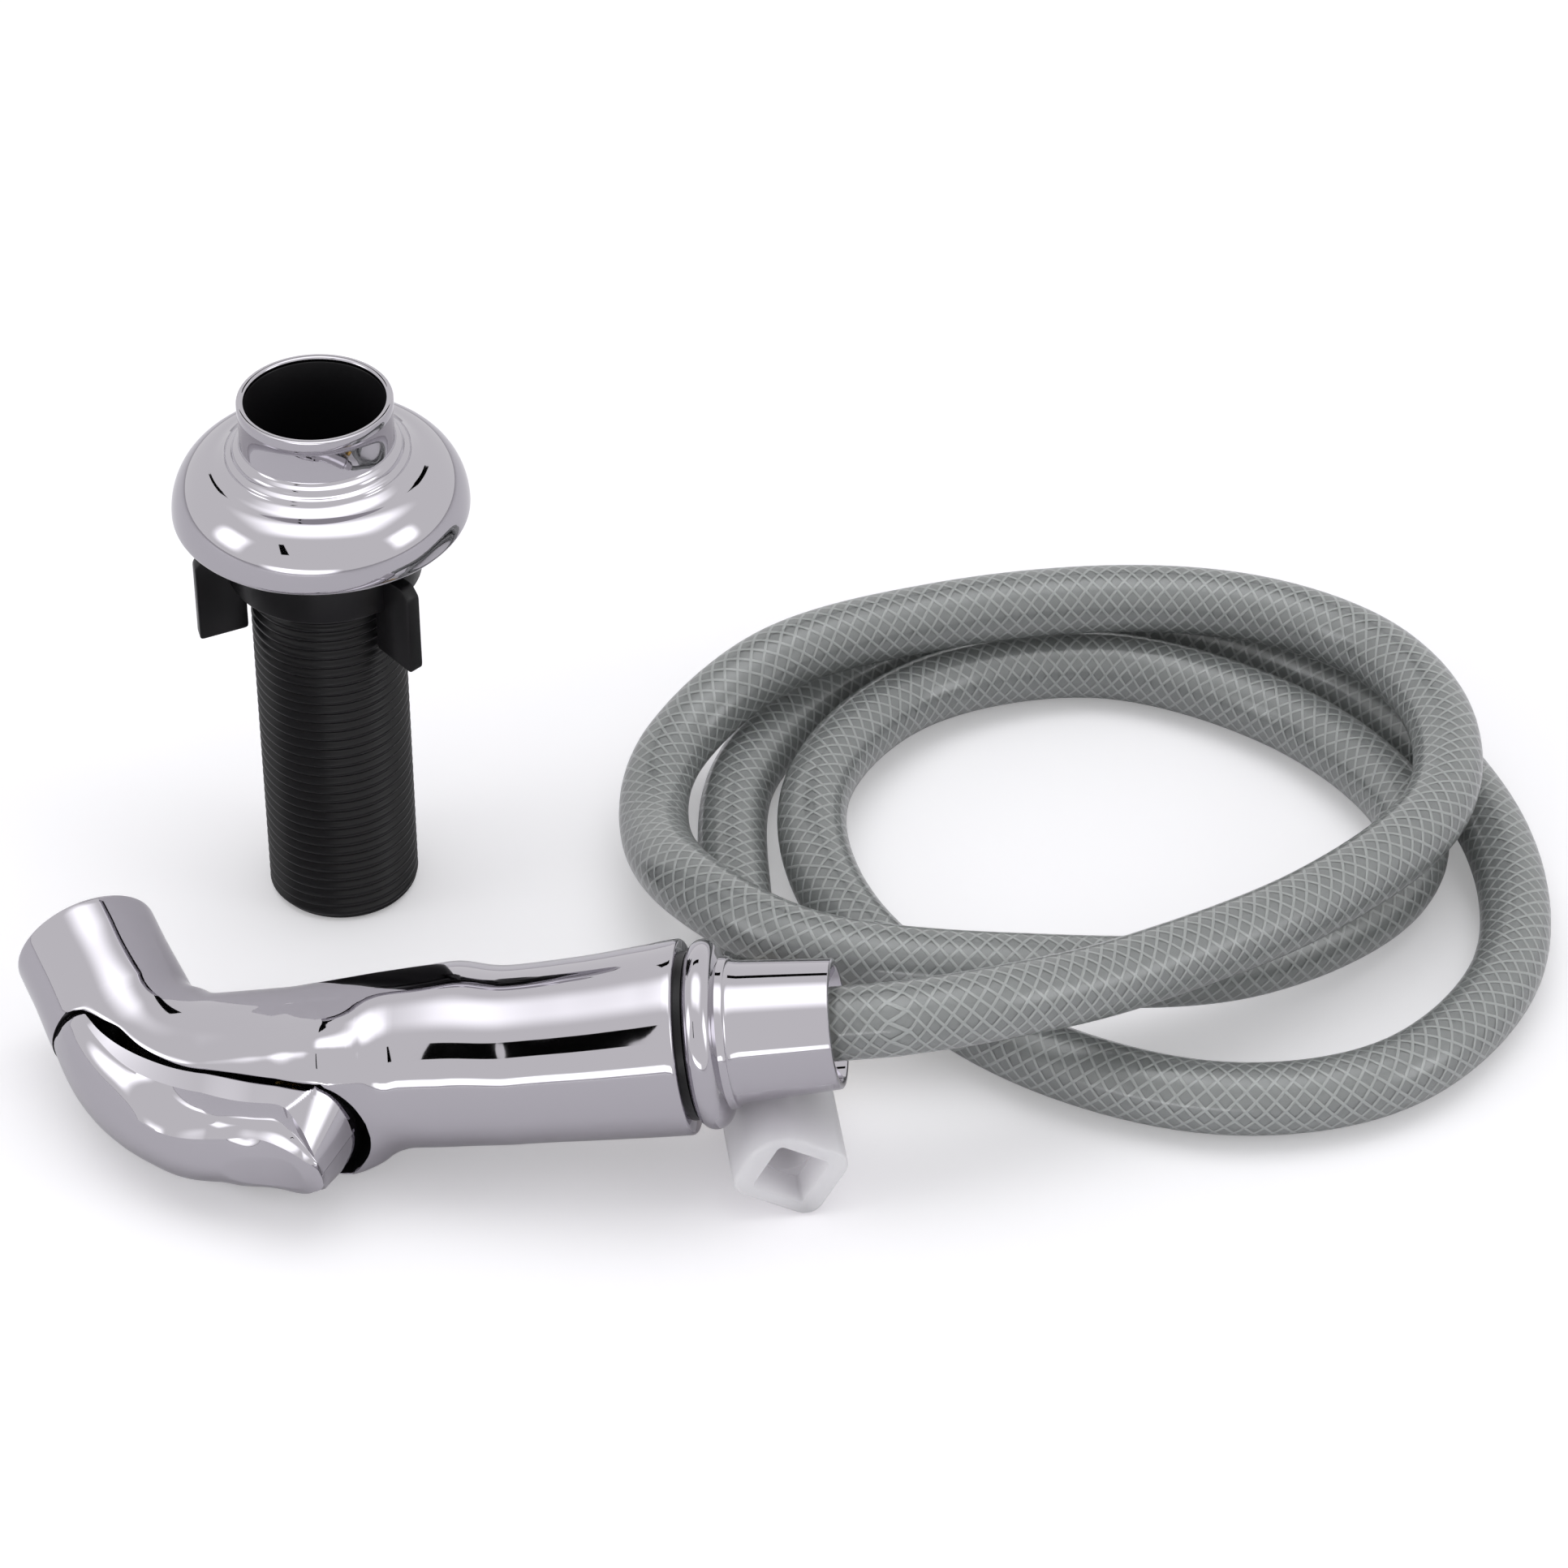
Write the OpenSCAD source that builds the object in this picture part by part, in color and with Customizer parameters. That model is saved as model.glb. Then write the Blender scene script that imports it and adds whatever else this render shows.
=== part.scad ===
// Side sprayer with thumb lever, clear braided hose, end nut and deck holder.
// Origin: centre of the holder's shank foot, on the surface it stands on. +Z up.

/* [Holder] */
// Outer diameter of the threaded shank
shank_d = 28.5; // [26:0.1:31]
// Height of the shank from its foot to the flange
shank_h = 86; // [76:1:96]
// Bore of the cup that the handset drops into
cup_d = 25.6; // [24:0.1:25.8]
// Wall of the cup's liner
liner_wall = 0.6; // [0.5:0.05:1]
// Height of the collar from the flange's dome to the rim
collar_h = 9.5; // [6:0.5:14]
// Wall of the collar round the liner
collar_wall = 0.75; // [0.6:0.05:1.5]
// Widest diameter of the flange's dome
dome_d = 54.7; // [50:0.1:62]
// Height of the dome above its widest line
dome_h = 10.5; // [8:0.5:14]
// Bore of the shank below the cup
drain_d = 21; // [16:0.5:22]
// Width of the gasket in the flange's foot
gasket_w = 4.5; // [3:0.1:4.5]
// Height of that gasket
gasket_h = 2.8; // [2:0.1:3.2]
// Clearance round the gasket
gasket_gap = 0.3; // [0.2:0.05:0.5]

/* [Wing nut] */
// Outer diameter of the nut's ring
ring_d = 36; // [34:0.5:40]
// Height of the nut's ring
ring_h = 8; // [6:0.5:11]
// Drop from the shank's top to the top of the nut
nut_drop = 4.4; // [4.4:0.1:24]
// Reach of a wing from the shank's axis
wing_r = 24.4; // [22:0.1:28]
// Thickness of a wing
wing_t = 3; // [2:0.1:4]
// Height of a wing
wing_h = 18.4; // [14:0.1:22]
// Number of wings
wing_count = 3; // [2:1:4]
// Direction of the first wing
wing_az = 195.5; // [0:1:360]
// Thickness of the washer over the nut
washer_t = 1.2; // [0.8:0.1:2]
// Outer diameter of the washer over the nut
washer_d = 40; // [36:0.5:42]

/* [Handset] */
// Angle between the handle and the head
bend_angle = 63.8; // [55:0.2:72]
// Radius of the bend's centreline
bend_r = 22; // [21:0.5:25]
// Distance from the bend's corner to the outlet
head_l = 32.8; // [29:0.5:42]
// Diameter of the head
head_d = 26.8; // [26:0.1:29]
// Distance from the bend's corner to the handle's rear rim
handle_l = 99; // [92:0.5:112]
// Diameter of the handle's rear rim
rim_d = 35.2; // [33:0.1:38]
// Number of nozzles in the spray insert's outer ring
nozzle_count = 18; // [8:1:22]
// Diameter of one nozzle
nozzle_d = 1.4; // [0.8:0.1:1.8]

/* [Lever] */
// Length of the lever along the bend
lever_l = 51.2; // [50:0.1:52.5]
// Half width of the lever at its widest
lever_w = 12.9; // [12:0.1:13]
// Reach of the thumb pad from the handle's axis
pad_reach = 23.3; // [22:0.1:25]
// Reach of the raised end from the handle's axis
block_reach = 26; // [24:0.1:28]
// Wall of the hollow lever
lever_wall = 2.4; // [1.6:0.1:3]
// Gap between the lever and its pocket
lever_gap = 0.45; // [0.4:0.05:0.8]
// Diameter of the pivot pin
pin_d = 3; // [2:0.1:3.6]
// Width of the lug that carries the pin
lug_w = 10; // [6:0.5:12]
// Position of the valve along the handle
valve_x = 26; // [24:0.5:28]
// Diameter of the valve chamber
chamber_d = 10; // [8.5:0.1:10.5]
// Diameter of the valve stem
stem_d = 2.8; // [2:0.1:3.2]
// Diameter of the waterways
water_d = 4.2; // [3:0.1:4.4]

/* [Coupling] */
// Diameter of the bead
bead_d = 34.1; // [32:0.1:36]
// Width of the bead
bead_w = 5.4; // [4:0.1:6]
// Diameter of the sleeve's open end
sleeve_d = 23.4; // [22.6:0.1:26]
// Length of the coupling from its washer to the sleeve's end
coupling_l = 25.8; // [22:0.1:32]
// Wall of the sleeve at its open end
sleeve_wall = 1.4; // [1:0.1:1.6]
// Thickness of the black washer
gasket_t = 1.2; // [0.8:0.1:2]
// Depth from the sleeve's inner wall to the coupling's washer
sleeve_floor = 6; // [5:0.5:8]
// Diameter of the coupling's spigot
spigot_d = 20.4; // [18:0.1:21]
// Clearance of pieces that slide into each other
slip = 0.05; // [0.03:0.01:0.08]

/* [Hose] */
// Outer diameter of the hose
hose_d = 13.4; // [12:0.1:13.4]
// Wall of the ferrules
ferrule_wall = 1.1; // [0.8:0.1:1.5]
// Length of the ferrules
ferrule_l = 13.8; // [11:0.2:13.8]

/* [End nut] */
// Width of the end nut's broad side
nut_w = 18; // [17:0.1:18.4]
// Height of the end nut's narrow side
nut_h = 15.4; // [14.6:0.1:15.8]
// Corner radius of the end nut
nut_corner = 3.5; // [2.5:0.1:3.8]
// Radius of the end nut's upper corner
nut_crown = 7.4; // [5:0.1:7.6]
// Length of the end nut
nut_l = 30; // [26:0.5:30]
// Width of the recess in its mouth
mouth_w = 10.2; // [9:0.1:10.8]
// Depth of the recess in its mouth
mouth_t = 7; // [5:0.5:9]
// Diameter of its threaded bore
thread_d = 9.52; // [8:0.01:9.8]
// Widening of the thread's run-out around the washer
relief = 0.6; // [0.4:0.1:1]

/* [Hidden] */
$fn = 72;

chrome = [0.82, 0.83, 0.86];
black = [0.10, 0.10, 0.11];
rubber_grey = [0.16, 0.16, 0.17];
brass = [0.78, 0.64, 0.36];
pvc = [0.72, 0.75, 0.68];
milky = [0.85, 0.84, 0.85];

// ---- smooth interpolation through a table of [position, value] ----
function seg(t, x, i = 0) = i >= len(t) - 2 || x < t[i + 1][0] ? i : seg(t, x, i + 1);
function slope(t, i) = i <= 0 || i >= len(t) - 1 ? 0
    : let (a = (t[i][1] - t[i - 1][1]) / (t[i][0] - t[i - 1][0]),
           b = (t[i + 1][1] - t[i][1]) / (t[i + 1][0] - t[i][0]))
      a * b <= 0 ? 0 : 2 * a * b / (a + b);
function smooth(t, x) = x <= t[0][0] ? t[0][1] : x >= t[len(t) - 1][0] ? t[len(t) - 1][1]
    : let (i = seg(t, x), h = t[i + 1][0] - t[i][0], u = (x - t[i][0]) / h)
      t[i][1] * (1 + 2 * u) * (1 - u) * (1 - u) + slope(t, i) * h * u * (1 - u) * (1 - u)
      + t[i + 1][1] * u * u * (3 - 2 * u) - slope(t, i + 1) * h * u * u * (1 - u);

// ---- skin of rings of equal length, closed at both ends ----
module skin(rings) {
    n = len(rings[0]);
    m = len(rings);
    pts = [for (r = rings) for (p = r) p];
    polyhedron(pts, concat(
        [[for (i = [0:n - 1]) i]],
        [for (k = [0:m - 2]) for (i = [0:n - 1]) let (j = (i + 1) % n)
            [k * n + i, (k + 1) * n + i, (k + 1) * n + j]],
        [for (k = [0:m - 2]) for (i = [0:n - 1]) let (j = (i + 1) % n)
            [k * n + i, (k + 1) * n + j, k * n + j]],
        [[for (i = [n - 1:-1:0]) (m - 1) * n + i]]), convexity = 8);
}

// ---- handset frame: corner of the bend at the origin, +X along the handle to its
// ---- rear, -Y to the lever's side, Z across; s runs along the centreline ----
hand_pos = [-29.6, -75.2, 14];
hand_rot = [21, -9.3, -3.8];
module handset() { translate(hand_pos) rotate(hand_rot) children(); }

bend_t = bend_r * tan(bend_angle / 2);
bend_s = bend_r * bend_angle * PI / 180;
function th(s) = s < 0 ? bend_angle : s > bend_s ? 0 : bend_angle - s / bend_r * 180 / PI;
function mid(s) = s < 0 ? (bend_t - s) * [-cos(bend_angle), sin(bend_angle), 0]
    : s > bend_s ? [bend_t + s - bend_s, 0, 0]
    : [bend_t - bend_r * sin(th(s)), bend_r - bend_r * cos(th(s)), 0];
function outw(s) = [-sin(th(s)), -cos(th(s)), 0];
function at(s, u, z) = mid(s) + u * outw(s) + [0, 0, z];
function x_s(x) = x - bend_t + bend_s;

head_s = bend_t - head_l;
// radius and outward offset of the body's section along s
x0 = handle_l - 99;
body_r = [[head_s + 6, head_d / 2], [0, head_d / 2 + 0.4], [bend_s / 3, head_d / 2 + 0.4], [bend_s, 14.5], [x_s(26), 14.5], [x_s(32), 14.9], [x_s(38), 15.4],
    [x_s(44), 15.9], [x_s(56), 16.5], [x_s(68), 16.1], [x_s(80 + x0), 16.5],
    [x_s(92 + x0), rim_d / 2 - 0.4], [x_s(handle_l), rim_d / 2]];
body_o = [[x_s(50), 0], [x_s(56), 0.1], [x_s(68), 1.2], [x_s(80), 1.1], [x_s(92 + x0), 0.6],
    [x_s(handle_l), 0.2]];
// hump and lip round the lever's rear end, fillet inside the bend and swell behind it
hump = [[lever_l - 14, 0], [lever_l - 9, 3.6], [lever_l - 6.2, 5.8], [lever_l - 4.5, 5.9], [lever_l - 2.5, 5.6],
    [lever_l + 1.2, 3.1], [lever_l + 3.2, 1.3], [lever_l + 5.8, 0.3], [lever_l + 9, 0]];
function fade(a) = let (u = min(1, max(0, (78 - abs(a)) / 42))) u * u * (3 - 2 * u);
function bell(x, w) = exp(-x * x / (w * w));
function lip(s, a) = let (b = a > 180 ? a - 360 : a < -180 ? a + 360 : a, i = max(0, -cos(b)))
    smooth(hump, s) * fade(b) + 1.2 * bell(s - bend_s / 2, 6.5) * i * i + 0.6 * bell(s - x_s(59), 4) * i;
function body_at(s, a) = let (r = smooth(body_r, s) + lip(s, a), o = smooth(body_o, s))
    at(s, o + r * cos(a), r * sin(a));
tail_s = x_s(handle_l);
body_st = concat([head_s + 0.7, head_s + 8, 0], [for (i = [1:8]) bend_s * i / 8],
    [31, 36, 41, 45, 47.5, 50, 52, 54, 56, 59, 63], [for (x = [56:6:92]) x_s(x + x0 / 2)], [tail_s - 0.8]);
body_n = 32;
function ring_at(s, d = 0) = [for (i = [0:body_n - 1]) let (a = -360 * i / body_n)
    body_at(s, a) - d * (cos(a) * outw(s) + [0, 0, sin(a)])];

// lever: half width in plan, edge and crest along s
nose_s = 0;
k_w = lever_w / 12.9;
lever_plan = [[nose_s, 8.6 * k_w], [nose_s + 0.9, 10.4 * k_w], [nose_s + 2, 11.9 * k_w], [4.2, 12.6 * k_w],
    [9, lever_w], [18, 12.8 * k_w], [28, 12 * k_w], [36, 11.5 * k_w], [40.6, 10.8 * k_w],
    [lever_l - 7.2, 9.4 * k_w], [lever_l - 3.5, 7.2 * k_w], [lever_l - 1.4, 5.2 * k_w],
    [lever_l - 0.3, 3 * k_w], [lever_l, 1.6 * k_w]];
lever_crest = [[nose_s, 13.2], [4, 14], [10, 16.2], [18, pad_reach - 3.6], [25, pad_reach - 1.4],
    [30, pad_reach - 0.4], [36, pad_reach + 0.4], [38.5, pad_reach + 1.4], [40.8, block_reach - 0.3],
    [42, block_reach], [43.3, block_reach - 0.6], [45, block_reach - 2.9], [47.5, block_reach - 5.6],
    [50, block_reach - 8], [lever_l, block_reach - 9.6]];
function lever_edge(s) = s > 43 ? lever_edge(43)
    : sqrt(pow(smooth(body_r, s), 2) - pow(smooth(lever_plan, s), 2));
lever_st = [nose_s, 0.9, 2, 4.2, 7, 10, 14, 18, 22, 26, 30, 34, 37, 39, 40.6, 42, 43.5,
    lever_l - 6, lever_l - 4.4, lever_l - 2.8, lever_l - 1.5, lever_l - 0.6, lever_l];
lever_n = 16;
lever_pow = 2.4;
function arch(w, h, a) = [w * sign(cos(a)) * pow(abs(cos(a)), 2 / lever_pow),
    h * pow(abs(sin(a)), 2 / lever_pow)];
function lever_ring(s, t, low) = let (w = smooth(lever_plan, s) - t, e = lever_edge(s),
    h = smooth(lever_crest, s) - t - e)
    [for (i = [0:lever_n]) let (p = arch(w, h, 180 * i / lever_n)) i == 0 || i == lever_n
        ? at(s, e - low, p[0]) : at(s, e + p[1], p[0])];

// pivot
pivot_s = 4;
pivot_u = 7;
pivot = at(pivot_s, pivot_u, 0);
pin_half = 10.4;
slot_half = lug_w / 2 + 0.3;

// pocket in the body
pocket_floor = [[nose_s, 4.4], [4, 4.2], [14, 4], [22, 4.6], [28, 5], [36, 5.4], [44, 6]];
pocket_plan = [[nose_s - lever_gap, 9.2 * k_w], [nose_s + 0.5, 10.9 * k_w], [nose_s + 1.6, 12.2 * k_w],
    [4.2, 12.6 * k_w + lever_gap], [9, lever_w + lever_gap], [18, 12.8 * k_w + lever_gap],
    [28, 12 * k_w + lever_gap], [36, 11.5 * k_w + lever_gap], [40.6, 10.8 * k_w + lever_gap],
    [lever_l - 7.2, 10.3 * k_w], [lever_l - 3.5, 8.6 * k_w], [lever_l - 1.2, 7.3 * k_w],
    [lever_l + 0.8, 5.6 * k_w], [lever_l + 2.1, 3.6 * k_w], [lever_l + 2.6, 1.6 * k_w]];
pocket_st = [nose_s - lever_gap, 0.3, 1.6, 4.2, 9, 14, 18, 23, 28, 32, 36, 40.6, lever_l - 7.2,
    lever_l - 3.5, lever_l - 1.2, lever_l + 0.8, lever_l + 2.1, lever_l + 2.6];

// ---- holder ----
liner_r = cup_d / 2 + liner_wall;
seat_r = liner_r + slip;
collar_r = seat_r + collar_wall;
base_z = shank_h - 0.5;
equator_z = base_z + 2.3;
dome_top = equator_z + dome_h;
rim_z = dome_top + 3.6 + collar_h;
dome_in = dome_d / 2 - 8.2;
ledge_z = shank_h + 1;
groove_out = dome_in + 3;
groove_in = groove_out - gasket_w - 2 * gasket_gap;
shank_r = shank_d / 2;
nut_z = shank_h - nut_drop;
nut_bore = shank_r + slip;
groove_z = nut_z - ring_h - 1.2;

module holder_shank() color(black) rotate_extrude()
    polygon([[shank_r - 0.85, 0], [shank_r, 1], [shank_r, groove_z], [shank_r - 0.6, groove_z + 0.2],
        [shank_r - 0.6, groove_z + 0.7], [shank_r, groove_z + 0.9], [shank_r, shank_h], [liner_r, shank_h],
        [liner_r, rim_z - 0.9], [cup_d / 2, rim_z - 0.9], [cup_d / 2, ledge_z], [drain_d / 2, ledge_z - 1],
        [drain_d / 2, 0]]);

module holder_flange() color(chrome) rotate_extrude()
    polygon(concat([[seat_r, shank_h], [seat_r, rim_z - 0.9], [cup_d / 2 + 0.1, rim_z - 0.9],
        [cup_d / 2 + 0.1, rim_z - 0.3], [cup_d / 2 + 0.4, rim_z], [collar_r - 0.2, rim_z],
        [collar_r + 0.05, rim_z - 0.4], [collar_r + 0.05, rim_z - 2], [collar_r - 0.1, rim_z - 2.4],
        [collar_r - 0.1, dome_top + 4.1], [collar_r + 0.4, dome_top + 3.6], [collar_r + 1.3, dome_top + 3.1],
        [collar_r + 1.5, dome_top + 2.7], [collar_r + 1.6, dome_top + 2.3], [collar_r + 2.4, dome_top + 2],
        [collar_r + 2.7, dome_top + 1.5], [collar_r + 2.8, dome_top + 1.2], [collar_r + 3.5, dome_top + 0.9],
        [collar_r + 3.8, dome_top + 0.4]],
        [for (i = [0:11]) let (a = 90 - 7.5 * i) [dome_in + 8.2 * cos(a), equator_z + dome_h * sin(a)]],
        [for (i = [0:4]) let (a = -15 * i) [dome_in + 8.2 * cos(a), equator_z + 2.3 / sin(60) * sin(a)]],
        [[groove_out, base_z], [groove_out, base_z + 0.1 + gasket_h], [groove_in, base_z + 0.1 + gasket_h],
        [groove_in, shank_h]]));

module flange_gasket() color(rubber_grey) translate([0, 0, base_z + 0.1]) difference() {
    cylinder(r = groove_out - gasket_gap, h = gasket_h);
    translate([0, 0, -1]) cylinder(r = groove_in + gasket_gap, h = gasket_h + 2);
}

module nut_washer() color(rubber_grey) translate([0, 0, nut_z + 0.1]) difference() {
    cylinder(d = washer_d, h = washer_t);
    translate([0, 0, -1]) cylinder(r = shank_r + 0.15, h = washer_t + 2);
}

module wing_nut() color(black) difference() {
    union() {
        translate([0, 0, nut_z - ring_h]) cylinder(d = ring_d, h = ring_h);
        for (i = [0:wing_count - 1]) rotate([0, 0, wing_az + 360 * i / wing_count])
            translate([0, wing_t / 2, 0]) rotate([90, 0, 0]) linear_extrude(wing_t)
            polygon([[shank_r + 0.9, nut_z - 0.8 - wing_h + 1.2], [wing_r, nut_z - 0.8 - wing_h],
                [wing_r, nut_z - 2.8], [wing_r - 1.8, nut_z - 0.8], [shank_r + 0.9, nut_z - 0.8]]);
    }
    cylinder(r = nut_bore, h = nut_z + 1);
}

// ---- handset ----
module along_handle(x) { translate([x, 0, 0]) rotate([0, 90, 0]) children(); }
module along_head(d) { rotate([0, 0, 180 - bend_angle]) translate([d, 0, 0]) rotate([0, 90, 0]) children(); }
module along_valve(u) { translate([valve_x, -u, 0]) rotate([90, 0, 0]) children(); }
module pin_bore(d, half) { translate(pivot - [0, 0, half]) cylinder(d = d, h = 2 * half); }

insert_d = head_d - 3.6;
insert_t = 4.6;
seal_t = 1.4;
rear_bore = spigot_d + 2 * slip;
rear_depth = 16;
valve_seat_u = -7.6;
valve_seat_t = 1.2;
seal_disc_t = 0.9;
cap_u = -1.2;
chamber_u = -12.3;
out_y = 4.2;
in_y = 10;

module handset_body() color(chrome) handset() difference() {
    union() {
        difference() {
            skin(concat([ring_at(head_s, 0.5)], [for (s = body_st) ring_at(s)], [ring_at(tail_s, 0.6)]));
            skin([for (s = pocket_st) let (w = smooth(pocket_plan, s), f = smooth(pocket_floor, s))
                [at(s, 30, w), at(s, 30, -w), at(s, f, -w), at(s, f, w)]]);
        }
        translate(pivot - [0, 0, lug_w / 2]) {
            cylinder(r = 3.4, h = lug_w);
            rotate([0, 0, 90 - th(pivot_s)]) translate([-3.4, 0, 0]) cube([6.8, 4, lug_w]);
        }
    }
    pin_bore(pin_d, lug_w);
    along_handle(handle_l - rear_depth) cylinder(d = rear_bore, h = rear_depth + 1);
    translate([0, in_y, 0]) along_handle(valve_x) cylinder(d = water_d - 0.2, h = handle_l - rear_depth - valve_x + 1);
    along_valve(chamber_u) cylinder(d = chamber_d, h = 12 - chamber_u);
    translate([0, out_y, 0]) along_handle(-out_y / tan(bend_angle) - 1.4) cylinder(d = water_d, h = valve_x + 1.4 + out_y / tan(bend_angle));
    along_head(out_y / sin(bend_angle) - 1.8) cylinder(d = water_d, h = 15.8);
    along_head(bend_t + 3) cylinder(d = 16, h = head_l);
    along_head(head_l - insert_t - seal_t) cylinder(d = insert_d + 2 * slip, h = insert_t + seal_t + 1);
}

module trigger_lever() color(chrome) handset() {
    difference() {
        skin([for (s = lever_st) lever_ring(s, 0, 0)]);
        skin([for (s = [10.5, 12.7, 16.3, 20.2, 24.2, 28.2, 32.2, 35.6, 38.1, 40.2, 42.7, lever_l - 6.5]) lever_ring(s, lever_wall, 9)]);
        translate(pivot) rotate([0, 0, 90 - th(pivot_s)]) translate([-4.1, -3.9, -slot_half]) cube([12, 14, 2 * slot_half]);
        pin_bore(pin_d + 2 * slip, pin_half + 0.1);
    }
    along_valve(stem_top + 0.05) cylinder(r = 3, h = pad_reach - 1.5 - stem_top);
}

stem_top = 9.6;
module lever_pin() color(brass) handset() pin_bore(pin_d, pin_half);

module spray_insert() color(chrome) handset() along_head(head_l - insert_t) difference() {
    cylinder(d = insert_d, h = insert_t - 0.3);
    translate([0, 0, -1]) cylinder(d = insert_d - 5, h = insert_t - 1.2);
    for (i = [0:nozzle_count - 1]) rotate([0, 0, 360 * i / nozzle_count]) translate([insert_d / 2 - 4, 0, 0]) cylinder(d = nozzle_d, h = insert_t + 1, $fn = 16);
    for (i = [0:ceil(nozzle_count / 2) - 1]) rotate([0, 0, 360 * i / ceil(nozzle_count / 2)]) translate([4.4, 0, 0]) cylinder(d = nozzle_d, h = insert_t + 1, $fn = 16);
    cylinder(d = nozzle_d, h = insert_t + 1, $fn = 16);
}

module tube(d, bore, h) difference() {
    cylinder(d = d, h = h);
    translate([0, 0, -1]) cylinder(d = bore, h = h + 2);
}

module spray_seal() color(rubber_grey) handset() along_head(head_l - insert_t - seal_t) tube(insert_d - 0.4, 17, seal_t);

module valve_seat() color(brass) handset() along_valve(valve_seat_u) tube(chamber_d, chamber_d - 4.2, valve_seat_t);

module valve_cap() color(brass) handset() along_valve(cap_u) difference() {
    union() {
        cylinder(d = chamber_d, h = 5);
        translate([0, 0, 5]) cylinder(d = chamber_d - 2, h = 1.6);
    }
    translate([0, 0, -1]) cylinder(d = stem_d + 2 * slip, h = 10);
}

module valve_stem() color(brass) handset() along_valve(valve_seat_u - seal_disc_t - 0.1) {
    cylinder(d = stem_d, h = stem_top - valve_seat_u + seal_disc_t + 0.1);
    translate([0, 0, -0.6]) cylinder(d = chamber_d - 3.4, h = 0.6);
}

module valve_seal() color(rubber_grey) handset() along_valve(valve_seat_u - seal_disc_t - 0.1)
    tube(chamber_d - 3.2, stem_d, seal_disc_t);

// ---- coupling on the handle's rear ----
face_x = handle_l + gasket_t;
end_x = face_x + coupling_l;
wall_x = face_x + sleeve_floor;
nipple_d = 8.4;
module coupling_washer() color(black) handset() along_handle(handle_l) tube(rim_d - 4.8, spigot_d + 0.4, gasket_t);

module base_coupling() color(chrome) handset() along_handle(face_x) rotate_extrude()
    polygon(concat([[nipple_d / 2 + slip, 0], [nipple_d / 2 + slip, -5], [spigot_d / 2 - 2.4, -5],
        [spigot_d / 2 - 2.4, 2 - rear_depth], [spigot_d / 2, 2 - rear_depth], [spigot_d / 2, 0], [14.6, 0]],
        [for (i = [0:10]) let (a = -75 + 15 * i) [bead_d / 2 - bead_w / 2 + bead_w / 2 * cos(a), bead_w / 2 + bead_w / 2 * sin(a)]],
        [[13.8, bead_w + 0.4], [13.7, bead_w + 1.5], [13.2, bead_w + 1.9], [12.9, bead_w + 2.6],
        [12.7, bead_w + 4], [sleeve_d / 2, coupling_l - 0.4], [sleeve_d / 2 - 0.4, coupling_l],
        [sleeve_d / 2 - sleeve_wall + 0.3, coupling_l], [sleeve_d / 2 - sleeve_wall, coupling_l - 0.4],
        [sleeve_d / 2 - sleeve_wall, wall_x - face_x], [nipple_d / 2 + slip, wall_x - face_x]]));

hose_x = wall_x + 6;
module hose_nipple() color(brass) handset() along_handle(0) rotate_extrude()
    polygon([[2.6, wall_x - 13], [nipple_d / 2, wall_x - 13], [nipple_d / 2, wall_x + 1], [nipple_d / 2 - 0.5, wall_x + 1],
        [nipple_d / 2 - 0.5, wall_x + 2], [nipple_d / 2, wall_x + 2], [nipple_d / 2, wall_x + 3],
        [hose_d / 2 - 0.6, wall_x + 3.4], [hose_d / 2 - 0.6, hose_x], [2.6, hose_x]]);

module nipple_oring() color(rubber_grey) handset() along_handle(face_x - 5 - 1.6) tube(nipple_d + 3.2, nipple_d, 1.5);

module retaining_clip() color(brass) handset() along_handle(wall_x + 1.1) difference() {
    tube(nipple_d + 3, nipple_d - 1 + 2 * slip, 0.8);
    translate([0, -1.2, -1]) cube([20, 2.4, 3]);
}

module hose_ferrule() color(brass) handset() along_handle(wall_x + 3.4)
    tube(hose_d + 0.1 + 2 * ferrule_wall, hose_d + 0.1, ferrule_l);

// ---- end nut: mouth at the origin, opening along +Z, Y up ----
nut_pos = [86.1, -96.6, 9.9];
nut_yaw = 7.6;
nut_roll = -29.3;
module end_frame() { translate(nut_pos) rotate([0, 0, nut_yaw]) rotate([90, 0, 0]) children(); }
flange_z = -mouth_t - 12;
module hose_nut() color(milky) end_frame() difference() {
    rotate([0, 0, nut_roll]) translate([0, 0, -nut_l]) linear_extrude(nut_l)
        polygon([for (k = [0:3]) let (r = k == 1 ? nut_crown : nut_corner) for (a = [0:11.25:90])
            let (c = [k == 0 || k == 3 ? 1 : -1, k < 2 ? 1 : -1])
            [c[0] * (nut_w / 2 - r) + r * cos(90 * k + a), c[1] * (nut_h / 2 - r) + r * sin(90 * k + a)]]);
    rotate([0, 0, nut_roll]) translate([-mouth_w / 2, -mouth_w / 2, -mouth_t]) cube([mouth_w, mouth_w, mouth_t + 1]);
    translate([0, 0, flange_z]) cylinder(d = thread_d, h = -flange_z);
    translate([0, 0, flange_z]) cylinder(d = thread_d + relief, h = 3.5);
    translate([0, 0, -nut_l - 1]) cylinder(d = tail_d + 0.4, h = nut_l);
}
tail_d = 6.6;
module hose_tail() color(brass) end_frame() difference() {
    union() {
        translate([0, 0, -nut_l]) cylinder(d = tail_d, h = nut_l + flange_z + 0.1);
        translate([0, 0, flange_z + 0.1]) cylinder(d = thread_d - 0.4, h = 1.4);
    }
    translate([0, 0, -nut_l - 1]) cylinder(d = 4.2, h = nut_l + 2);
}
module hose_nut_washer() color(rubber_grey) end_frame() translate([0, 0, flange_z + 1.5]) tube(thread_d - 0.3, 5, 1.5);
module tail_ferrule() color(brass) end_frame() translate([0, 0, -nut_l - ferrule_l - 0.1])
    tube(hose_d + 0.1 + 2 * ferrule_wall, hose_d + 0.1, ferrule_l);

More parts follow.
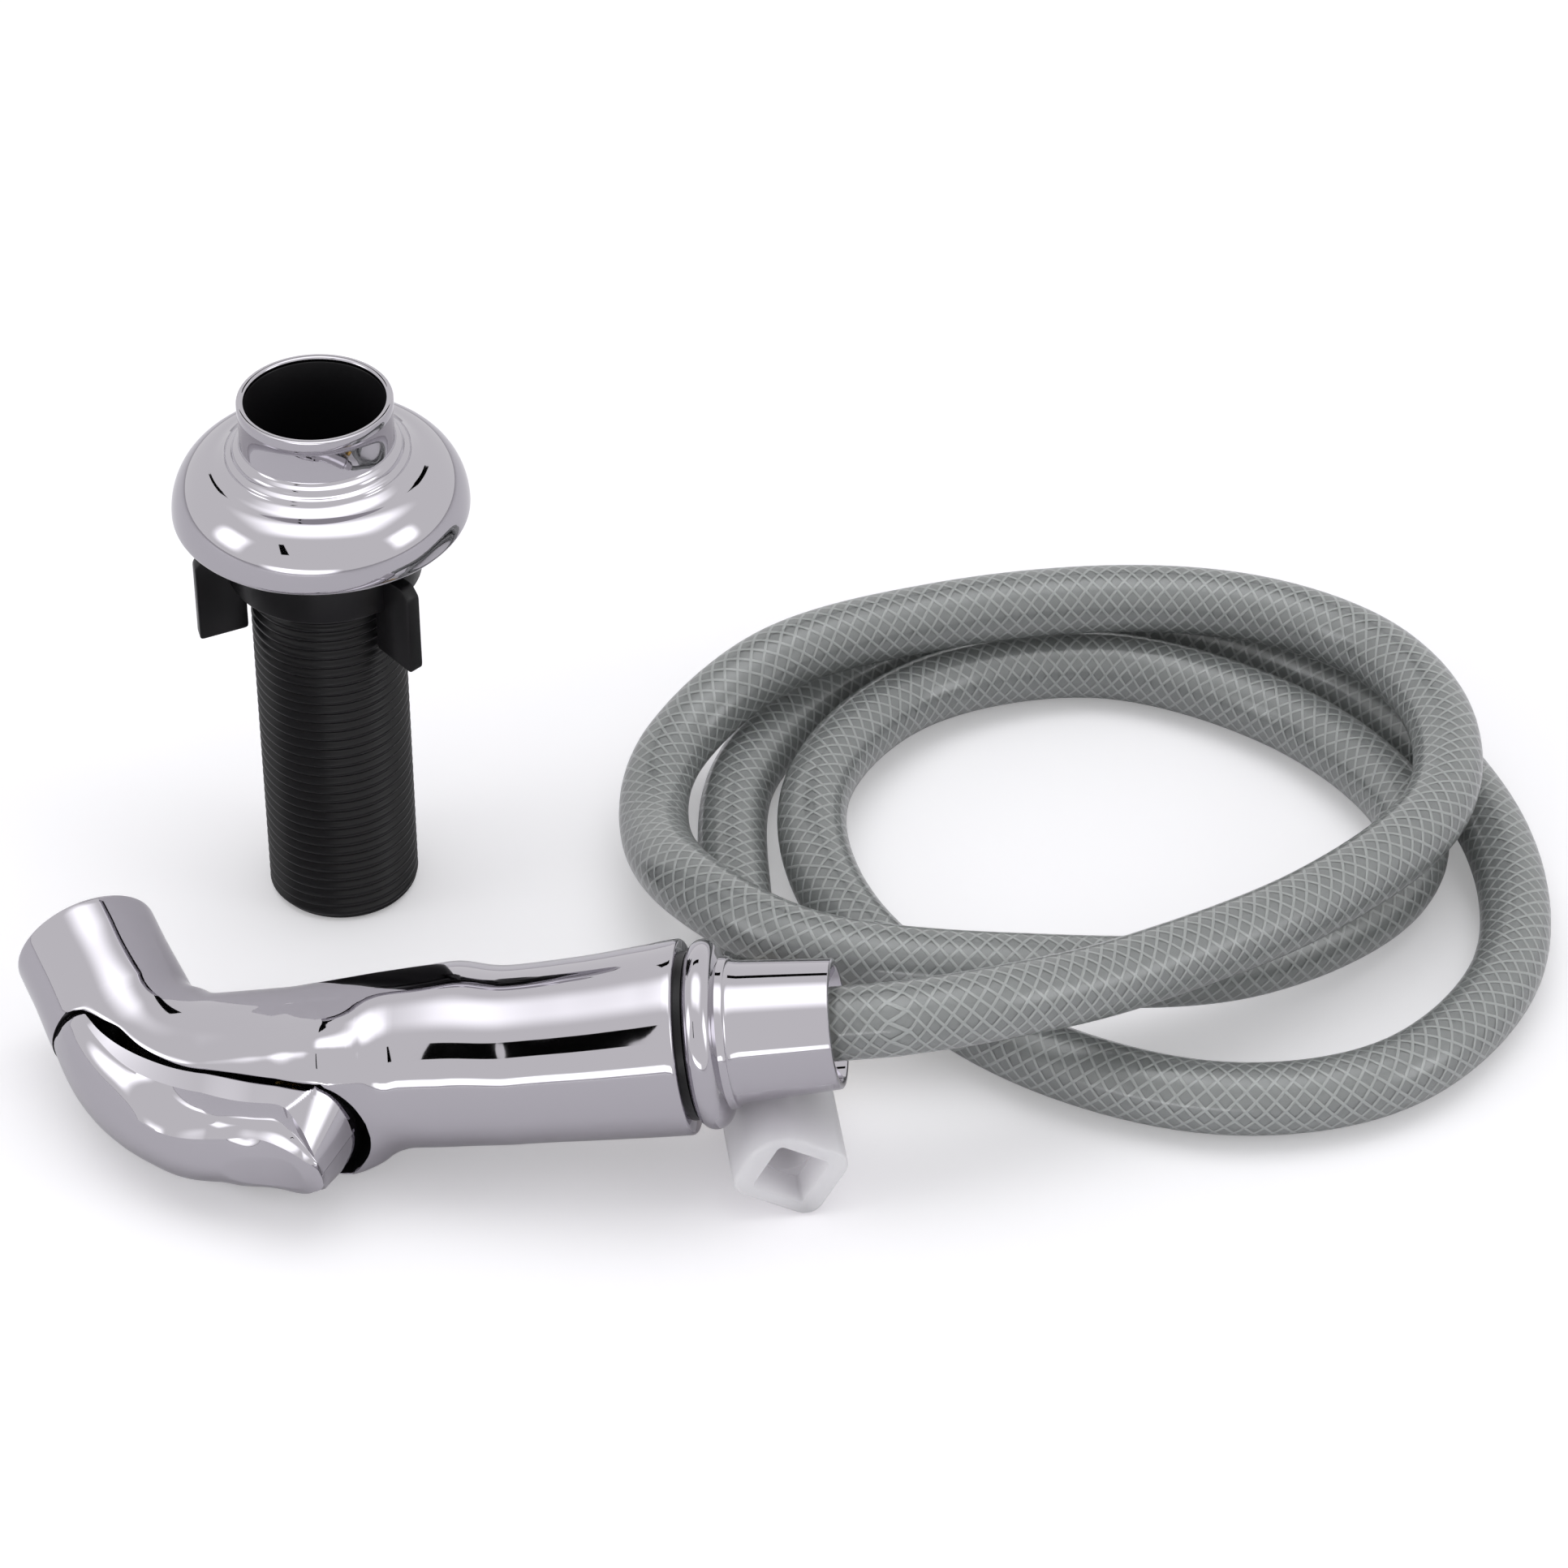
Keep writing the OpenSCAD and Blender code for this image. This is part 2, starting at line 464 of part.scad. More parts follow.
// ---- hose: centreline points, then a tube swept along them ----
function turn(v, r) = let (a = r[0], b = r[1], c = r[2],
    p = [v[0], v[1] * cos(a) - v[2] * sin(a), v[1] * sin(a) + v[2] * cos(a)],
    q = [p[0] * cos(b) + p[2] * sin(b), p[1], -p[0] * sin(b) + p[2] * cos(b)])
    [q[0] * cos(c) - q[1] * sin(c), q[0] * sin(c) + q[1] * cos(c), q[2]];
function on_handle(x) = hand_pos + turn([x, 0, 0], hand_rot);
tail_dir = [sin(nut_yaw), -cos(nut_yaw), 0];
lie = hose_d / 2;
lay = [[123, -78, 34.5], [148, -63, 29], [182, -38, 24], [207, -10, 22], [212, 18, 21.5], [202, 42, 21],
    [180, 57, 20.5], [151, 61, 20.5], [116, 54, 21.5], [84, 40, 21.5], [64, 21, 15], [60, -2, 13.5], [68, -29, 20.5],
    [91, -50, 23.5], [128, -53, 21], [169, -41, 12], [199, -18, 8.5], [205, 9, 8], [184, 40, 7], [148, 57, lie + 0.2],
    [111, 45, 8.5], [91, 13, 9.5], [97, -23, 8], [125, -56, 7], [162, -73, 7.5], [197, -66, 7], [220, -37, lie],
    [222, 2, lie], [205, 40, lie], [174, 65, lie], [135, 72, lie], [99, 55, lie], [77, 21, 7], [76, -19, 7]];
knots = concat([on_handle(end_x + 10)], lay, [nut_pos - (nut_l + ferrule_l + 0.2) * tail_dir]);
function knot(i) = i < 0 ? 2 * knots[0] - knots[1] : i >= len(knots) ? 2 * knots[i - 1] - knots[i - 2] : knots[i];
route = concat([on_handle(hose_x)], [for (i = [0:len(knots) - 2]) each [knots[i],
    (9 * (knots[i] + knots[i + 1]) - knot(i - 1) - knot(i + 2)) / 16]], [knots[len(knots) - 1], nut_pos - nut_l * tail_dir]);
function unit(v) = v / norm(v);
function dir_at(p, i) = i == 0 ? unit(p[1] - p[0]) : i == len(p) - 1 ? unit(p[i] - p[i - 1])
    : unit(unit(p[i + 1] - p[i]) + unit(p[i] - p[i - 1]));
hose_n = 10;
module swept(p, r) skin([for (i = [0:len(p) - 1])
    let (t = dir_at(p, i), n = unit(cross([0, 0, 1], t)), b = cross(t, n))
    [for (k = [0:hose_n - 1]) let (a = 360 * (k + 0.5) / hose_n) p[i] + r * (cos(a) * n + sin(a) * b)]]);
function off_seg(p, a, b) = let (d = b - a, u = min(1, max(0, ((p - a) * d) / (d * d)))) norm(p - a - u * d);
function run_len(p, i = 1, sum = 0) = i >= len(p) ? sum : run_len(p, i + 1, sum + norm(p[i] - p[i - 1]));
hose_gap = min([for (i = [0:len(route) - 1]) for (j = [0:len(route) - 2])
    if (abs(i - j) > 4 && abs(i - j - 1) > 4) off_seg(route[i], route[j], route[j + 1])]) - hose_d;
echo(hose_length = run_len(route), hose_gap = hose_gap, rings = len(route));
module hose() color(pvc) swept(route, hose_d / 2);

holder_shank();
holder_flange();
flange_gasket();
nut_washer();
wing_nut();
handset_body();
trigger_lever();
lever_pin();
spray_insert();
spray_seal();
valve_seat();
valve_cap();
valve_stem();
valve_seal();
base_coupling();
coupling_washer();
hose_nipple();
nipple_oring();
retaining_clip();
hose_ferrule();
hose();
tail_ferrule();
hose_tail();
hose_nut();
hose_nut_washer();
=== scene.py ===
import math

import bpy
import bmesh
from bpy.props import FloatProperty, FloatVectorProperty, IntProperty, PointerProperty
from mathutils import Euler, Matrix, Vector


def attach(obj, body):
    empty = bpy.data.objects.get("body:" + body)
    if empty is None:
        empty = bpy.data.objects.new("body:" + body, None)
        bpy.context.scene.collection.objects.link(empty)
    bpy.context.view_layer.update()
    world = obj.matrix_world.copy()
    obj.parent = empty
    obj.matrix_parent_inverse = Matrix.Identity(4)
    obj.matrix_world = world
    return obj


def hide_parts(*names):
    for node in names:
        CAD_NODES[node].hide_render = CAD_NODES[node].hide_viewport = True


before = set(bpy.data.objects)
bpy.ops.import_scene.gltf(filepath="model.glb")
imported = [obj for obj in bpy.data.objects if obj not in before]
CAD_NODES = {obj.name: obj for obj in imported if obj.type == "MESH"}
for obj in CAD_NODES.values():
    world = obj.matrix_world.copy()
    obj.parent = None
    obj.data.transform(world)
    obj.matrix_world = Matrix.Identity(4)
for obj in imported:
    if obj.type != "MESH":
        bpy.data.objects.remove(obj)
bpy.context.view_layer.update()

bl_info = {
    "name": "Side sprayer with deck holder",
    "version": (1, 0, 0),
    "blender": (4, 5, 0),
    "location": "View3D > Sidebar > Sprayer",
    "description": "Makes a chrome side sprayer with its braided hose, end nut and deck holder",
    "category": "Add Mesh",
}

MM = 0.001
# Glow of the floor board, and level of the soft room light
BOARD_GLOW = 0.24
ROOM_LEVEL = 0.62


# ---------------------------------------------------------------- colour and nodes

def from_hex(code):
    """Turns an sRGB hex code into a linear colour with alpha."""
    shares = [int(code[i:i + 2], 16) / 255 for i in (1, 3, 5)]
    return tuple(c / 12.92 if c <= 0.04045 else ((c + 0.055) / 1.055) ** 2.4 for c in shares) + (1.0,)


def add_node(tree, kind, inputs=None, **settings):
    """Adds a node, sets its settings, and gives its inputs a value or another node's output."""
    node = tree.nodes.new(kind)
    for key, value in settings.items():
        setattr(node, key, value)
    for key, value in (inputs or {}).items():
        if isinstance(value, bpy.types.NodeSocket):
            tree.links.new(value, node.inputs[key])
        else:
            node.inputs[key].default_value = value
    return node


def new_finish(name):
    """Returns the finish of that name and its empty node tree, or None for the tree if it is made."""
    if name in bpy.data.materials:
        return bpy.data.materials[name], None
    finish = bpy.data.materials.new(name)
    finish.use_nodes = True
    finish.node_tree.nodes.clear()
    return finish, finish.node_tree


# ---------------------------------------------------------------- sizes and colours

def length(name, description, millimetres):
    """A length property, kept in metres."""
    return FloatProperty(name=name, description=description, default=millimetres * MM, unit="LENGTH",
                         min=0.0001, precision=5)


def colour(name, description, code):
    """A colour property from an sRGB hex code."""
    return FloatVectorProperty(name=name, description=description, default=from_hex(code), size=4,
                               subtype="COLOR", min=0, max=1)


class HolderSizes(bpy.types.PropertyGroup):
    shank_diameter: length("Shank diameter", "Outer diameter of the threaded shank", 28.5)
    shank_height: length("Shank height", "Height from the foot to the flange", 86)
    thread_pitch: length("Thread pitch", "Height of one turn of the shank's thread", 2.117)
    thread_depth: length("Thread depth", "Depth of the thread's grooves", 0.75)
    cup_bore: length("Cup bore", "Bore that the handset drops into", 25.6)
    drain_bore: length("Drain bore", "Bore of the shank below the cup", 21)
    flange_diameter: length("Flange diameter", "Widest diameter of the chrome dome", 54.7)
    dome_height: length("Dome height", "Height of the dome above its widest line", 10.5)
    collar_height: length("Collar height", "Height of the collar above the dome", 9.5)
    ring_diameter: length("Nut diameter", "Diameter of the wing nut's ring", 36)
    wing_reach: length("Wing reach", "Distance from the shank's axis to a wing's end", 24.4)
    wing_height: length("Wing height", "Height of a wing", 18.4)
    wing_count: IntProperty(name="Wings", description="Number of wings", default=3, min=2, max=4)
    wing_direction: FloatProperty(name="Wing direction", description="Direction of the first wing",
                                  default=math.radians(195.5), subtype="ANGLE")


class HandsetSizes(bpy.types.PropertyGroup):
    head_diameter: length("Head diameter", "Diameter at the spray end", 26.8)
    head_length: length("Head length", "Distance from the bend's corner to the spray end", 32.8)
    handle_length: length("Handle length", "Distance from the bend's corner to the rear rim", 99)
    rim_diameter: length("Rim diameter", "Diameter of the handle's rear rim", 35.2)
    lever_length: length("Lever length", "Length of the thumb lever along the bend", 51.2)
    lever_half_width: length("Lever half width", "Half width of the thumb lever", 12)
    lever_gap: length("Lever gap", "Gap between the lever and its pocket", 0.6)
    pad_reach: length("Pad reach", "Reach of the thumb pad from the handle's axis", 23.3)
    block_reach: length("Block reach", "Reach of the lever's raised end from the axis", 26)
    bead_diameter: length("Bead diameter", "Diameter of the coupling's bead", 34.1)
    sleeve_diameter: length("Sleeve diameter", "Diameter of the sleeve's open end", 23.4)


class HoseSizes(bpy.types.PropertyGroup):
    diameter: length("Hose diameter", "Outer diameter of the clear hose", 13.4)
    core_diameter: length("Core diameter", "Diameter of the tinted inner layer", 10.8)
    yarn_width: length("Yarn width", "Width of one braid yarn", 0.8)
    yarn_lead: length("Yarn lead", "Length of hose in one turn of a yarn", 33)
    yarn_count: IntProperty(name="Yarns", description="Number of yarns in each direction", default=10,
                            min=4, max=32)


class EndNutSizes(bpy.types.PropertyGroup):
    width: length("Nut width", "Width of the end nut's broad side", 18)
    height: length("Nut height", "Height of the end nut's narrow side", 15.4)
    depth: length("Nut length", "Length of the end nut", 30)
    mouth_width: length("Mouth width", "Width of the square recess", 10.2)
    mouth_depth: length("Mouth depth", "Depth of the square recess", 7)


class FinishColours(bpy.types.PropertyGroup):
    chrome: colour("Chrome", "Colour of the chrome plate", "#b6b3b9")
    black: colour("Black plastic", "Colour of the moulded black plastic", "#121113")
    core: colour("Hose core", "Colour of the hose's inner layer", "#9b9d9d")
    skin: colour("Hose skin", "Tint of the hose's clear outer layer", "#f7f8f8")
    yarn: colour("Braid yarn", "Colour of the braid's polyester yarn", "#c1c4c3")
    nut: colour("End nut", "Colour of the milky end nut", "#f4f0f6")
    brass: colour("Brass", "Colour of the turned brass fittings", "#c2a05c")
    rubber: colour("Rubber", "Colour of the seals", "#242325")
    floor: colour("Floor", "Colour of the matt floor board", "#f4f3f4")


# ---------------------------------------------------------------- finishes

def speckled_shader(tree, scale, detail, low, high, settings, relief=None):
    """A principled shader whose roughness runs from low to high over a noise of that scale.

    relief is the strength and the distance of a bump by the same noise."""
    place = add_node(tree, "ShaderNodeTexCoord")
    noise = add_node(tree, "ShaderNodeTexNoise",
                     {"Vector": place.outputs["Object"], "Scale": scale, "Detail": detail})
    rough = add_node(tree, "ShaderNodeMapRange",
                     {"Value": noise.outputs["Fac"], "To Min": low, "To Max": high})
    inputs = dict(settings, Roughness=rough.outputs["Result"])
    if relief:
        bump = add_node(tree, "ShaderNodeBump", {
            "Height": noise.outputs["Fac"], "Strength": relief[0], "Distance": relief[1]})
        inputs["Normal"] = bump.outputs["Normal"]
    return add_node(tree, "ShaderNodeBsdfPrincipled", inputs)


def speckled_finish(name, *look):
    """A finish made of one speckled shader."""
    finish, tree = new_finish(name)
    if tree:
        shader = speckled_shader(tree, *look)
        add_node(tree, "ShaderNodeOutputMaterial", {"Surface": shader.outputs["BSDF"]})
    return finish


def chrome_plated_zinc():
    # Polished casting under bright chrome: a mirror, with a hardly visible swell left by the buffing.
    # Buffing leaves waves about 30 mm long.
    return speckled_finish("chrome_plated_zinc", 33.0, 1.0, 0.02, 0.05, {
        "Base Color": bpy.context.scene.sprayer_finish.chrome, "Metallic": 1.0}, (0.03, 0.002))


def black_acetal_and_pocket_shade():
    # Moulded from a spark-eroded tool: deep black with a soft satin sheen. On the handset this finish also
    # fills the lever's pocket: partly painted shade for the deep gap, partly the pocket's unplated inside.
    # The tool's grain is about 0.1 mm; it is drawn at 0.6 mm, as coarse as it needs to show.
    return speckled_finish("black_acetal_and_pocket_shade", 1600.0, 2.0, 0.3, 0.42, {
        "Base Color": bpy.context.scene.sprayer_finish.black, "IOR": 1.48,
        "Specular IOR Level": 0.3}, (0.1, 0.0001))


def moulded_epdm():
    # Pressed rubber: dull near-black that scatters every highlight.
    # Talc left from the mould lies in patches of 3 mm.
    return speckled_finish("moulded_epdm", 330.0, 3.0, 0.55, 0.75, {
        "Base Color": bpy.context.scene.sprayer_finish.rubber, "IOR": 1.5})


def turned_brass():
    # Bar turned on a lathe: warm yellow metal with fine tool rings that stretch the highlight.
    finish, tree = new_finish("turned_brass")
    if tree:
        place = add_node(tree, "ShaderNodeTexCoord")
        # The tool's feed is 0.1 mm a turn; the rings are drawn at 0.5 mm, as coarse as they need to show.
        rings = add_node(tree, "ShaderNodeTexWave", {
            "Vector": place.outputs["Object"], "Scale": 100.0, "Distortion": 0.4},
            wave_type="RINGS", rings_direction="X")
        rough = add_node(tree, "ShaderNodeMapRange",
                         {"Value": rings.outputs["Fac"], "To Min": 0.2, "To Max": 0.32})
        shader = add_node(tree, "ShaderNodeBsdfPrincipled", {
            "Base Color": bpy.context.scene.sprayer_finish.brass, "Metallic": 1.0,
            "Roughness": rough.outputs["Result"]})
        add_node(tree, "ShaderNodeOutputMaterial", {"Surface": shader.outputs["BSDF"]})
    return finish


def clear_pvc():
    # Extruded clear hose wall: wet gloss, with the braid drawn wide by the thick wall.
    # The die leaves ripples about 5 mm long.
    return speckled_finish("clear_pvc", 200.0, 1.0, 0.1, 0.2, {
        "Base Color": bpy.context.scene.sprayer_finish.skin, "IOR": 1.53, "Transmission Weight": 1.0})


def tinted_pvc():
    # Extruded inner layer: milky grey, soft and slightly glossy under the braid.
    # The compound's clouds are about 8 mm long.
    return speckled_finish("tinted_pvc", 120.0, 2.0, 0.3, 0.45, {
        "Base Color": bpy.context.scene.sprayer_finish.core, "IOR": 1.53})


def polyester_yarn():
    # Twisted polyester: pale threads that catch the light along their length.
    # The yarn's twist repeats every 1 mm.
    return speckled_finish("polyester_yarn", 1000.0, 1.0, 0.35, 0.55, {
        "Base Color": bpy.context.scene.sprayer_finish.yarn, "IOR": 1.57})


def milky_nylon():
    # Moulded natural nylon: cloudy white that light sinks into, with a waxy shine.
    # Flow clouds from moulding are about 6 mm long.
    return speckled_finish("milky_nylon", 160.0, 3.0, 0.28, 0.42, {
        "Base Color": bpy.context.scene.sprayer_finish.nut, "IOR": 1.53, "Subsurface Weight": 1.0,
        "Subsurface Radius": (1.0, 0.97, 1.0), "Subsurface Scale": 0.03})


def painted_board():
    # Floor board with matt paint: even and pale, and it keeps the sprayer's shadow.
    finish, tree = new_finish("painted_board")
    if tree:
        # The roller's stipple is about 2 mm.
        paint = speckled_shader(tree, 500.0, 2.0, 0.85, 1.0, {
            "Base Color": bpy.context.scene.sprayer_finish.floor, "Specular IOR Level": 0.1})
        # A small glow where the board is looked at, straight or through the hose, makes it white.
        ray = add_node(tree, "ShaderNodeLightPath")
        shown = add_node(tree, "ShaderNodeMath", {
            0: ray.outputs["Is Camera Ray"], 1: ray.outputs["Is Transmission Ray"]}, operation="MAXIMUM")
        level = add_node(tree, "ShaderNodeMath", {0: shown.outputs[0], 1: BOARD_GLOW}, operation="MULTIPLY")
        glow = add_node(tree, "ShaderNodeEmission", {"Color": (1, 1, 1, 1), "Strength": level.outputs[0]})
        both = add_node(tree, "ShaderNodeAddShader",
                        {0: paint.outputs["BSDF"], 1: glow.outputs["Emission"]})
        add_node(tree, "ShaderNodeOutputMaterial", {"Surface": both.outputs["Shader"]})
    return finish


def black_flag_cloth():
    # Duvetyn cloth on a studio flag: takes all light, so chrome shows it as a black streak.
    # The nap's tufts are about 4 mm.
    return speckled_finish("black_flag_cloth", 250.0, 2.0, 0.9, 1.0, {
        "Base Color": (0.003, 0.003, 0.003, 1), "Specular IOR Level": 0.0})


def soft_edges(lamp):
    """Lets a softbox's light fade towards its cloth's edges."""
    lamp.use_nodes = True
    tree = lamp.node_tree
    tree.nodes.clear()
    spot = add_node(tree, "ShaderNodeNewGeometry")
    across = add_node(tree, "ShaderNodeSeparateXYZ", {"Vector": spot.outputs["Parametric"]})
    fades = []
    for axis in ("X", "Y"):
        off = add_node(tree, "ShaderNodeMath", {0: across.outputs[axis], 1: 0.5}, operation="SUBTRACT")
        away = add_node(tree, "ShaderNodeMath", {0: off.outputs[0]}, operation="ABSOLUTE")
        fades.append(add_node(tree, "ShaderNodeMapRange", {
            "Value": away.outputs[0], "From Min": 0.12, "From Max": 0.5, "To Min": 1.0, "To Max": 0.0},
            interpolation_type="SMOOTHSTEP"))
    level = add_node(tree, "ShaderNodeMath", {0: fades[0].outputs["Result"], 1: fades[1].outputs["Result"]},
                     operation="MULTIPLY")
    light = add_node(tree, "ShaderNodeEmission", {"Strength": level.outputs[0]})
    add_node(tree, "ShaderNodeOutputLight", {"Surface": light.outputs[0]})


# ---------------------------------------------------------------- mesh helpers

def make_piece(name, points, faces, finishes, parts=None, sharp=32):
    """Makes a smooth-shaded mesh object from points in millimetres, with its creases kept sharp."""
    mesh = bpy.data.meshes.new(name)
    mesh.from_pydata([(x * MM, y * MM, z * MM) for x, y, z in points], [], faces)
    for finish in finishes:
        mesh.materials.append(finish)
    if parts:
        mesh.polygons.foreach_set("material_index", parts)
    shape = bmesh.new()
    shape.from_mesh(mesh)
    bmesh.ops.remove_doubles(shape, verts=shape.verts, dist=1e-6)
    bmesh.ops.dissolve_degenerate(shape, edges=shape.edges, dist=1e-6)
    bmesh.ops.recalc_face_normals(shape, faces=shape.faces)
    for face in shape.faces:
        face.smooth = True
    shape.to_mesh(mesh)
    shape.free()
    mesh.set_sharp_from_angle(angle=math.radians(sharp))
    piece = bpy.data.objects.new(name, mesh)
    bpy.context.scene.collection.objects.link(piece)
    return piece


def join_rings(rings, closed=False, capped=True):
    """Faces between rings of equal length, with a cap on each end or the last ring joined to the first."""
    n, m = len(rings[0]), len(rings)
    faces = [(k * n + i, k * n + (i + 1) % n, (k + 1) % m * n + (i + 1) % n, (k + 1) % m * n + i)
             for k in range(m if closed else m - 1) for i in range(n)]
    if capped and not closed:
        faces += [tuple(range(n - 1, -1, -1)), tuple(range((m - 1) * n, m * n))]
    return [p for ring in rings for p in ring], faces


def turned(profile, count=160):
    """Rings of a closed profile of (radius, height) turned round the z axis."""
    return [[(r * math.cos(math.tau * i / count), r * math.sin(math.tau * i / count), z)
             for i in range(count)] for r, z in profile]


def softened(profile, radius, steps=3):
    """A closed profile with each corner rounded by an arc-like curve of about that radius."""
    made = []
    for k, corner in enumerate(profile):
        before, here, after = Vector(profile[k - 1]), Vector(corner), Vector(profile[(k + 1) % len(profile)])
        start = here + (before - here) * min(0.45, radius / max((before - here).length, 1e-9))
        end = here + (after - here) * min(0.45, radius / max((after - here).length, 1e-9))
        for i in range(steps + 1):
            t = i / steps
            made.append(tuple(start * (1 - t) ** 2 + here * 2 * t * (1 - t) + end * t * t))
    return made


def blend(table, x):
    """Smooth value at x through a table of (position, value), without overshoot."""
    if x <= table[0][0]:
        return table[0][1]
    if x >= table[-1][0]:
        return table[-1][1]
    i = 0
    while x >= table[i + 1][0]:
        i += 1

    def slope(k):
        if k <= 0 or k >= len(table) - 1:
            return 0.0
        a = (table[k][1] - table[k - 1][1]) / (table[k][0] - table[k - 1][0])
        b = (table[k + 1][1] - table[k][1]) / (table[k + 1][0] - table[k][0])
        return 0.0 if a * b <= 0 else 2 * a * b / (a + b)

    h = table[i + 1][0] - table[i][0]
    u = (x - table[i][0]) / h
    return (table[i][1] * (1 + 2 * u) * (1 - u) ** 2 + slope(i) * h * u * (1 - u) ** 2
            + table[i + 1][1] * u * u * (3 - 2 * u) - slope(i + 1) * h * u * u * (1 - u))


def step_up(a, b, x):
    """0 below a, 1 above b, smooth between."""
    u = min(1.0, max(0.0, (x - a) / (b - a)))
    return u * u * (3 - 2 * u)


def stations(*runs):
    """Positions from runs of (start, end, step)."""
    made = []
    for start, end, step in runs:
        count = max(1, round((end - start) / step))
        made += [start + (end - start) * i / count for i in range(count)]
    return made + [runs[-1][1]]


# ---------------------------------------------------------------- handset form

HAND_PLACE = Matrix.Translation((-29.6, -75.2, 14)) @ Euler(
    [math.radians(a) for a in (21, -9.3, -3.8)], "XYZ").to_matrix().to_4x4()


def in_hand(points):
    """Moves points from the handset's own axes to the scene."""
    return [tuple(HAND_PLACE @ Vector(p)) for p in points]


def even(table, x, reach=3.0):
    """Mean of the blended table around x, so that a mirror shows no ripple at the table's entries."""
    return sum(blend(table, x + reach * d / 4) for d in range(-4, 5)) / 9


class HandsetForm:
    """Centreline, sections and lever outlines of the bent handset, in millimetres.

    s runs along the centreline from the head to the rear, u points to the lever's side and z across."""

    bend = math.radians(63.8)
    bend_r = 22.0
    roll = math.radians(12)

    def __init__(self):
        size = bpy.context.scene.sprayer_handset
        self.corner = self.bend_r * math.tan(self.bend / 2)
        self.arc = self.bend_r * self.bend
        head, rim = size.head_diameter / MM / 2, size.rim_diameter / MM / 2
        self.length = size.handle_length / MM
        self.head_s = self.corner - size.head_length / MM
        self.tail_s = self.s_at(self.length)
        self.insert_r = head - 1.8
        more = self.length - 99
        self.radii = [(self.head_s + 6, head), (0, head + 0.4), (self.arc / 3, head + 0.4),
                      (self.arc, 14.5)] + [
            (self.s_at(x), r) for x, r in ((26, 14.5), (32, 14.9), (38, 15.4), (44, 15.9), (56, 16.5),
                                           (68, 16.1), (80 + more, 16.5), (92 + more, rim - 0.4),
                                           (self.length, rim))]
        self.offsets = [(self.s_at(x), o) for x, o in ((50, 0), (56, 0.1), (68, 1.2), (80, 1.1),
                                                       (92 + more, 0.6), (self.length, 0.2))]
        reach = self.lever_l = size.lever_length / MM
        half = size.lever_half_width / MM
        k, gap = half / 12, size.lever_gap / MM
        self.gap, self.half = gap, half
        # ears of the body beside the lever's rear end: along s, then round the section
        self.ear = [(8, 0), (13, 0.3), (18, 0.6), (23, 1.3), (30, 2.4), (37, 3.7), (42, 4.5), (46, 4.9),
                    (48.4, 4.4), (49.9, 3.8), (51.4, 3.1), (52.6, 2.4), (54, 1.4), (56, 0.5), (58.5, 0)]
        self.ear_round = [(0, 0.2), (20, 0.5), (31, 0.75), (40, 1), (56, 1), (74, 0.5), (90, 0.12), (100, 0)]
        # the rear end is a cone round a line at this s
        self.cone_s = reach - 15.4
        self.plan = [(0, 8.6 * k), (0.9, 9.9 * k), (2, 10.9 * k), (4.5, 11.8 * k), (9, half), (24, half),
                     (34, half - 0.45), (50, half - 0.45)]
        self.pocket = [(-0.3, 8.9 * k), (0.6, 10.2 * k), (1.6, 11.2 * k), (4.2, 12 * k), (9, half + gap),
                       (40, half + gap), (46.5, half + gap), (47.3, 11.8), (48.4, 10.8), (49.9, 8.8),
                       (51.4, 6),
                       (52.2, 3.2), (52.5, 1.6)]
        self.rim = [(0, 7.6), (4.7, 8), (13, 7.9), (18, 8.4), (23, 9.6), (30, 11.3), (37, 13.1), (42, 14.2),
                    (46, 14.8), (52, 14.8)]
        self.floor = [(0, 4.4), (4, 4.2), (14, 4), (22, 4.6), (28, 5), (36, 5.4), (44, 6)]
        pad, block = size.pad_reach / MM, size.block_reach / MM
        self.crest = [(0, 13.5), (4, 14.4), (10, 16.2), (18, 19.4), (23, pad - 1.3), (27, pad - 0.3),
                      (31, pad + 0.8), (34, pad + 1.4), (38, block - 1), (41.4, block - 0.3),
                      (45.2, block + 0.3)]
        self.ridge_z = [(0, 7), (16, 6), (23, 6), (26.3, 6.3), (29.4, 7), (37.5, 7), (41.4, 5.7), (42.9, 4.8),
                        (43.9, 3.8), (44.9, 2.2), (45.5, 1)]
        self.ridge_u = [(23, 19.7), (26.3, 20.9), (29.4, 21.3), (32.4, 21.4), (37.5, 23.1), (41.4, 25.3),
                        (43.9, 26), (45.5, block + 0.3)]
        self.crease = [(0, 8.2), (4.7, 9), (9.3, 9.7), (13, 10.9), (16.6, 11.7), (20.2, 12.6), (23.4, 13.8),
                       (27.1, 15.4), (31.2, 16.6), (35.2, 17.4), (39.2, 18), (40.7, 18.4), (42, 20),
                       (42.9, 21.8),
                       (43.9, 23.7), (44.9, 25.1), (45.5, block + 0.2)]

    def s_at(self, x):
        return x - self.corner + self.arc

    def angle(self, s):
        return self.bend if s < 0 else 0.0 if s > self.arc else self.bend - s / self.bend_r

    def at(self, s, u, z):
        """Point at s along the centreline, u outward and z across."""
        t = self.angle(s)
        if s < 0:
            x, y = -(self.corner - s) * math.cos(t), (self.corner - s) * math.sin(t)
        elif s > self.arc:
            x, y = self.corner + s - self.arc, 0.0
        else:
            x, y = self.corner - self.bend_r * math.sin(t), self.bend_r - self.bend_r * math.cos(t)
        # the lever's side is turned a little round the centreline
        c, d = math.cos(self.roll), math.sin(self.roll)
        u, z = u * c - z * d, u * d + z * c
        return (x - u * math.sin(t), y - u * math.cos(t), z)

    def radius(self, s, a):
        """Body radius at angle a from the lever's side, with the ears beside the lever's rear end."""
        b = abs((a + 180) % 360 - 180)
        inner = max(0.0, -math.cos(math.radians(b)))
        more = blend(self.ear, s) * blend(self.ear_round, b)
        more += 1.2 * math.exp(-((s - self.arc / 2) / 6.5) ** 2) * inner ** 2
        more += 0.6 * math.exp(-((s - self.s_at(59)) / 4) ** 2) * inner
        return blend(self.radii, s) + more

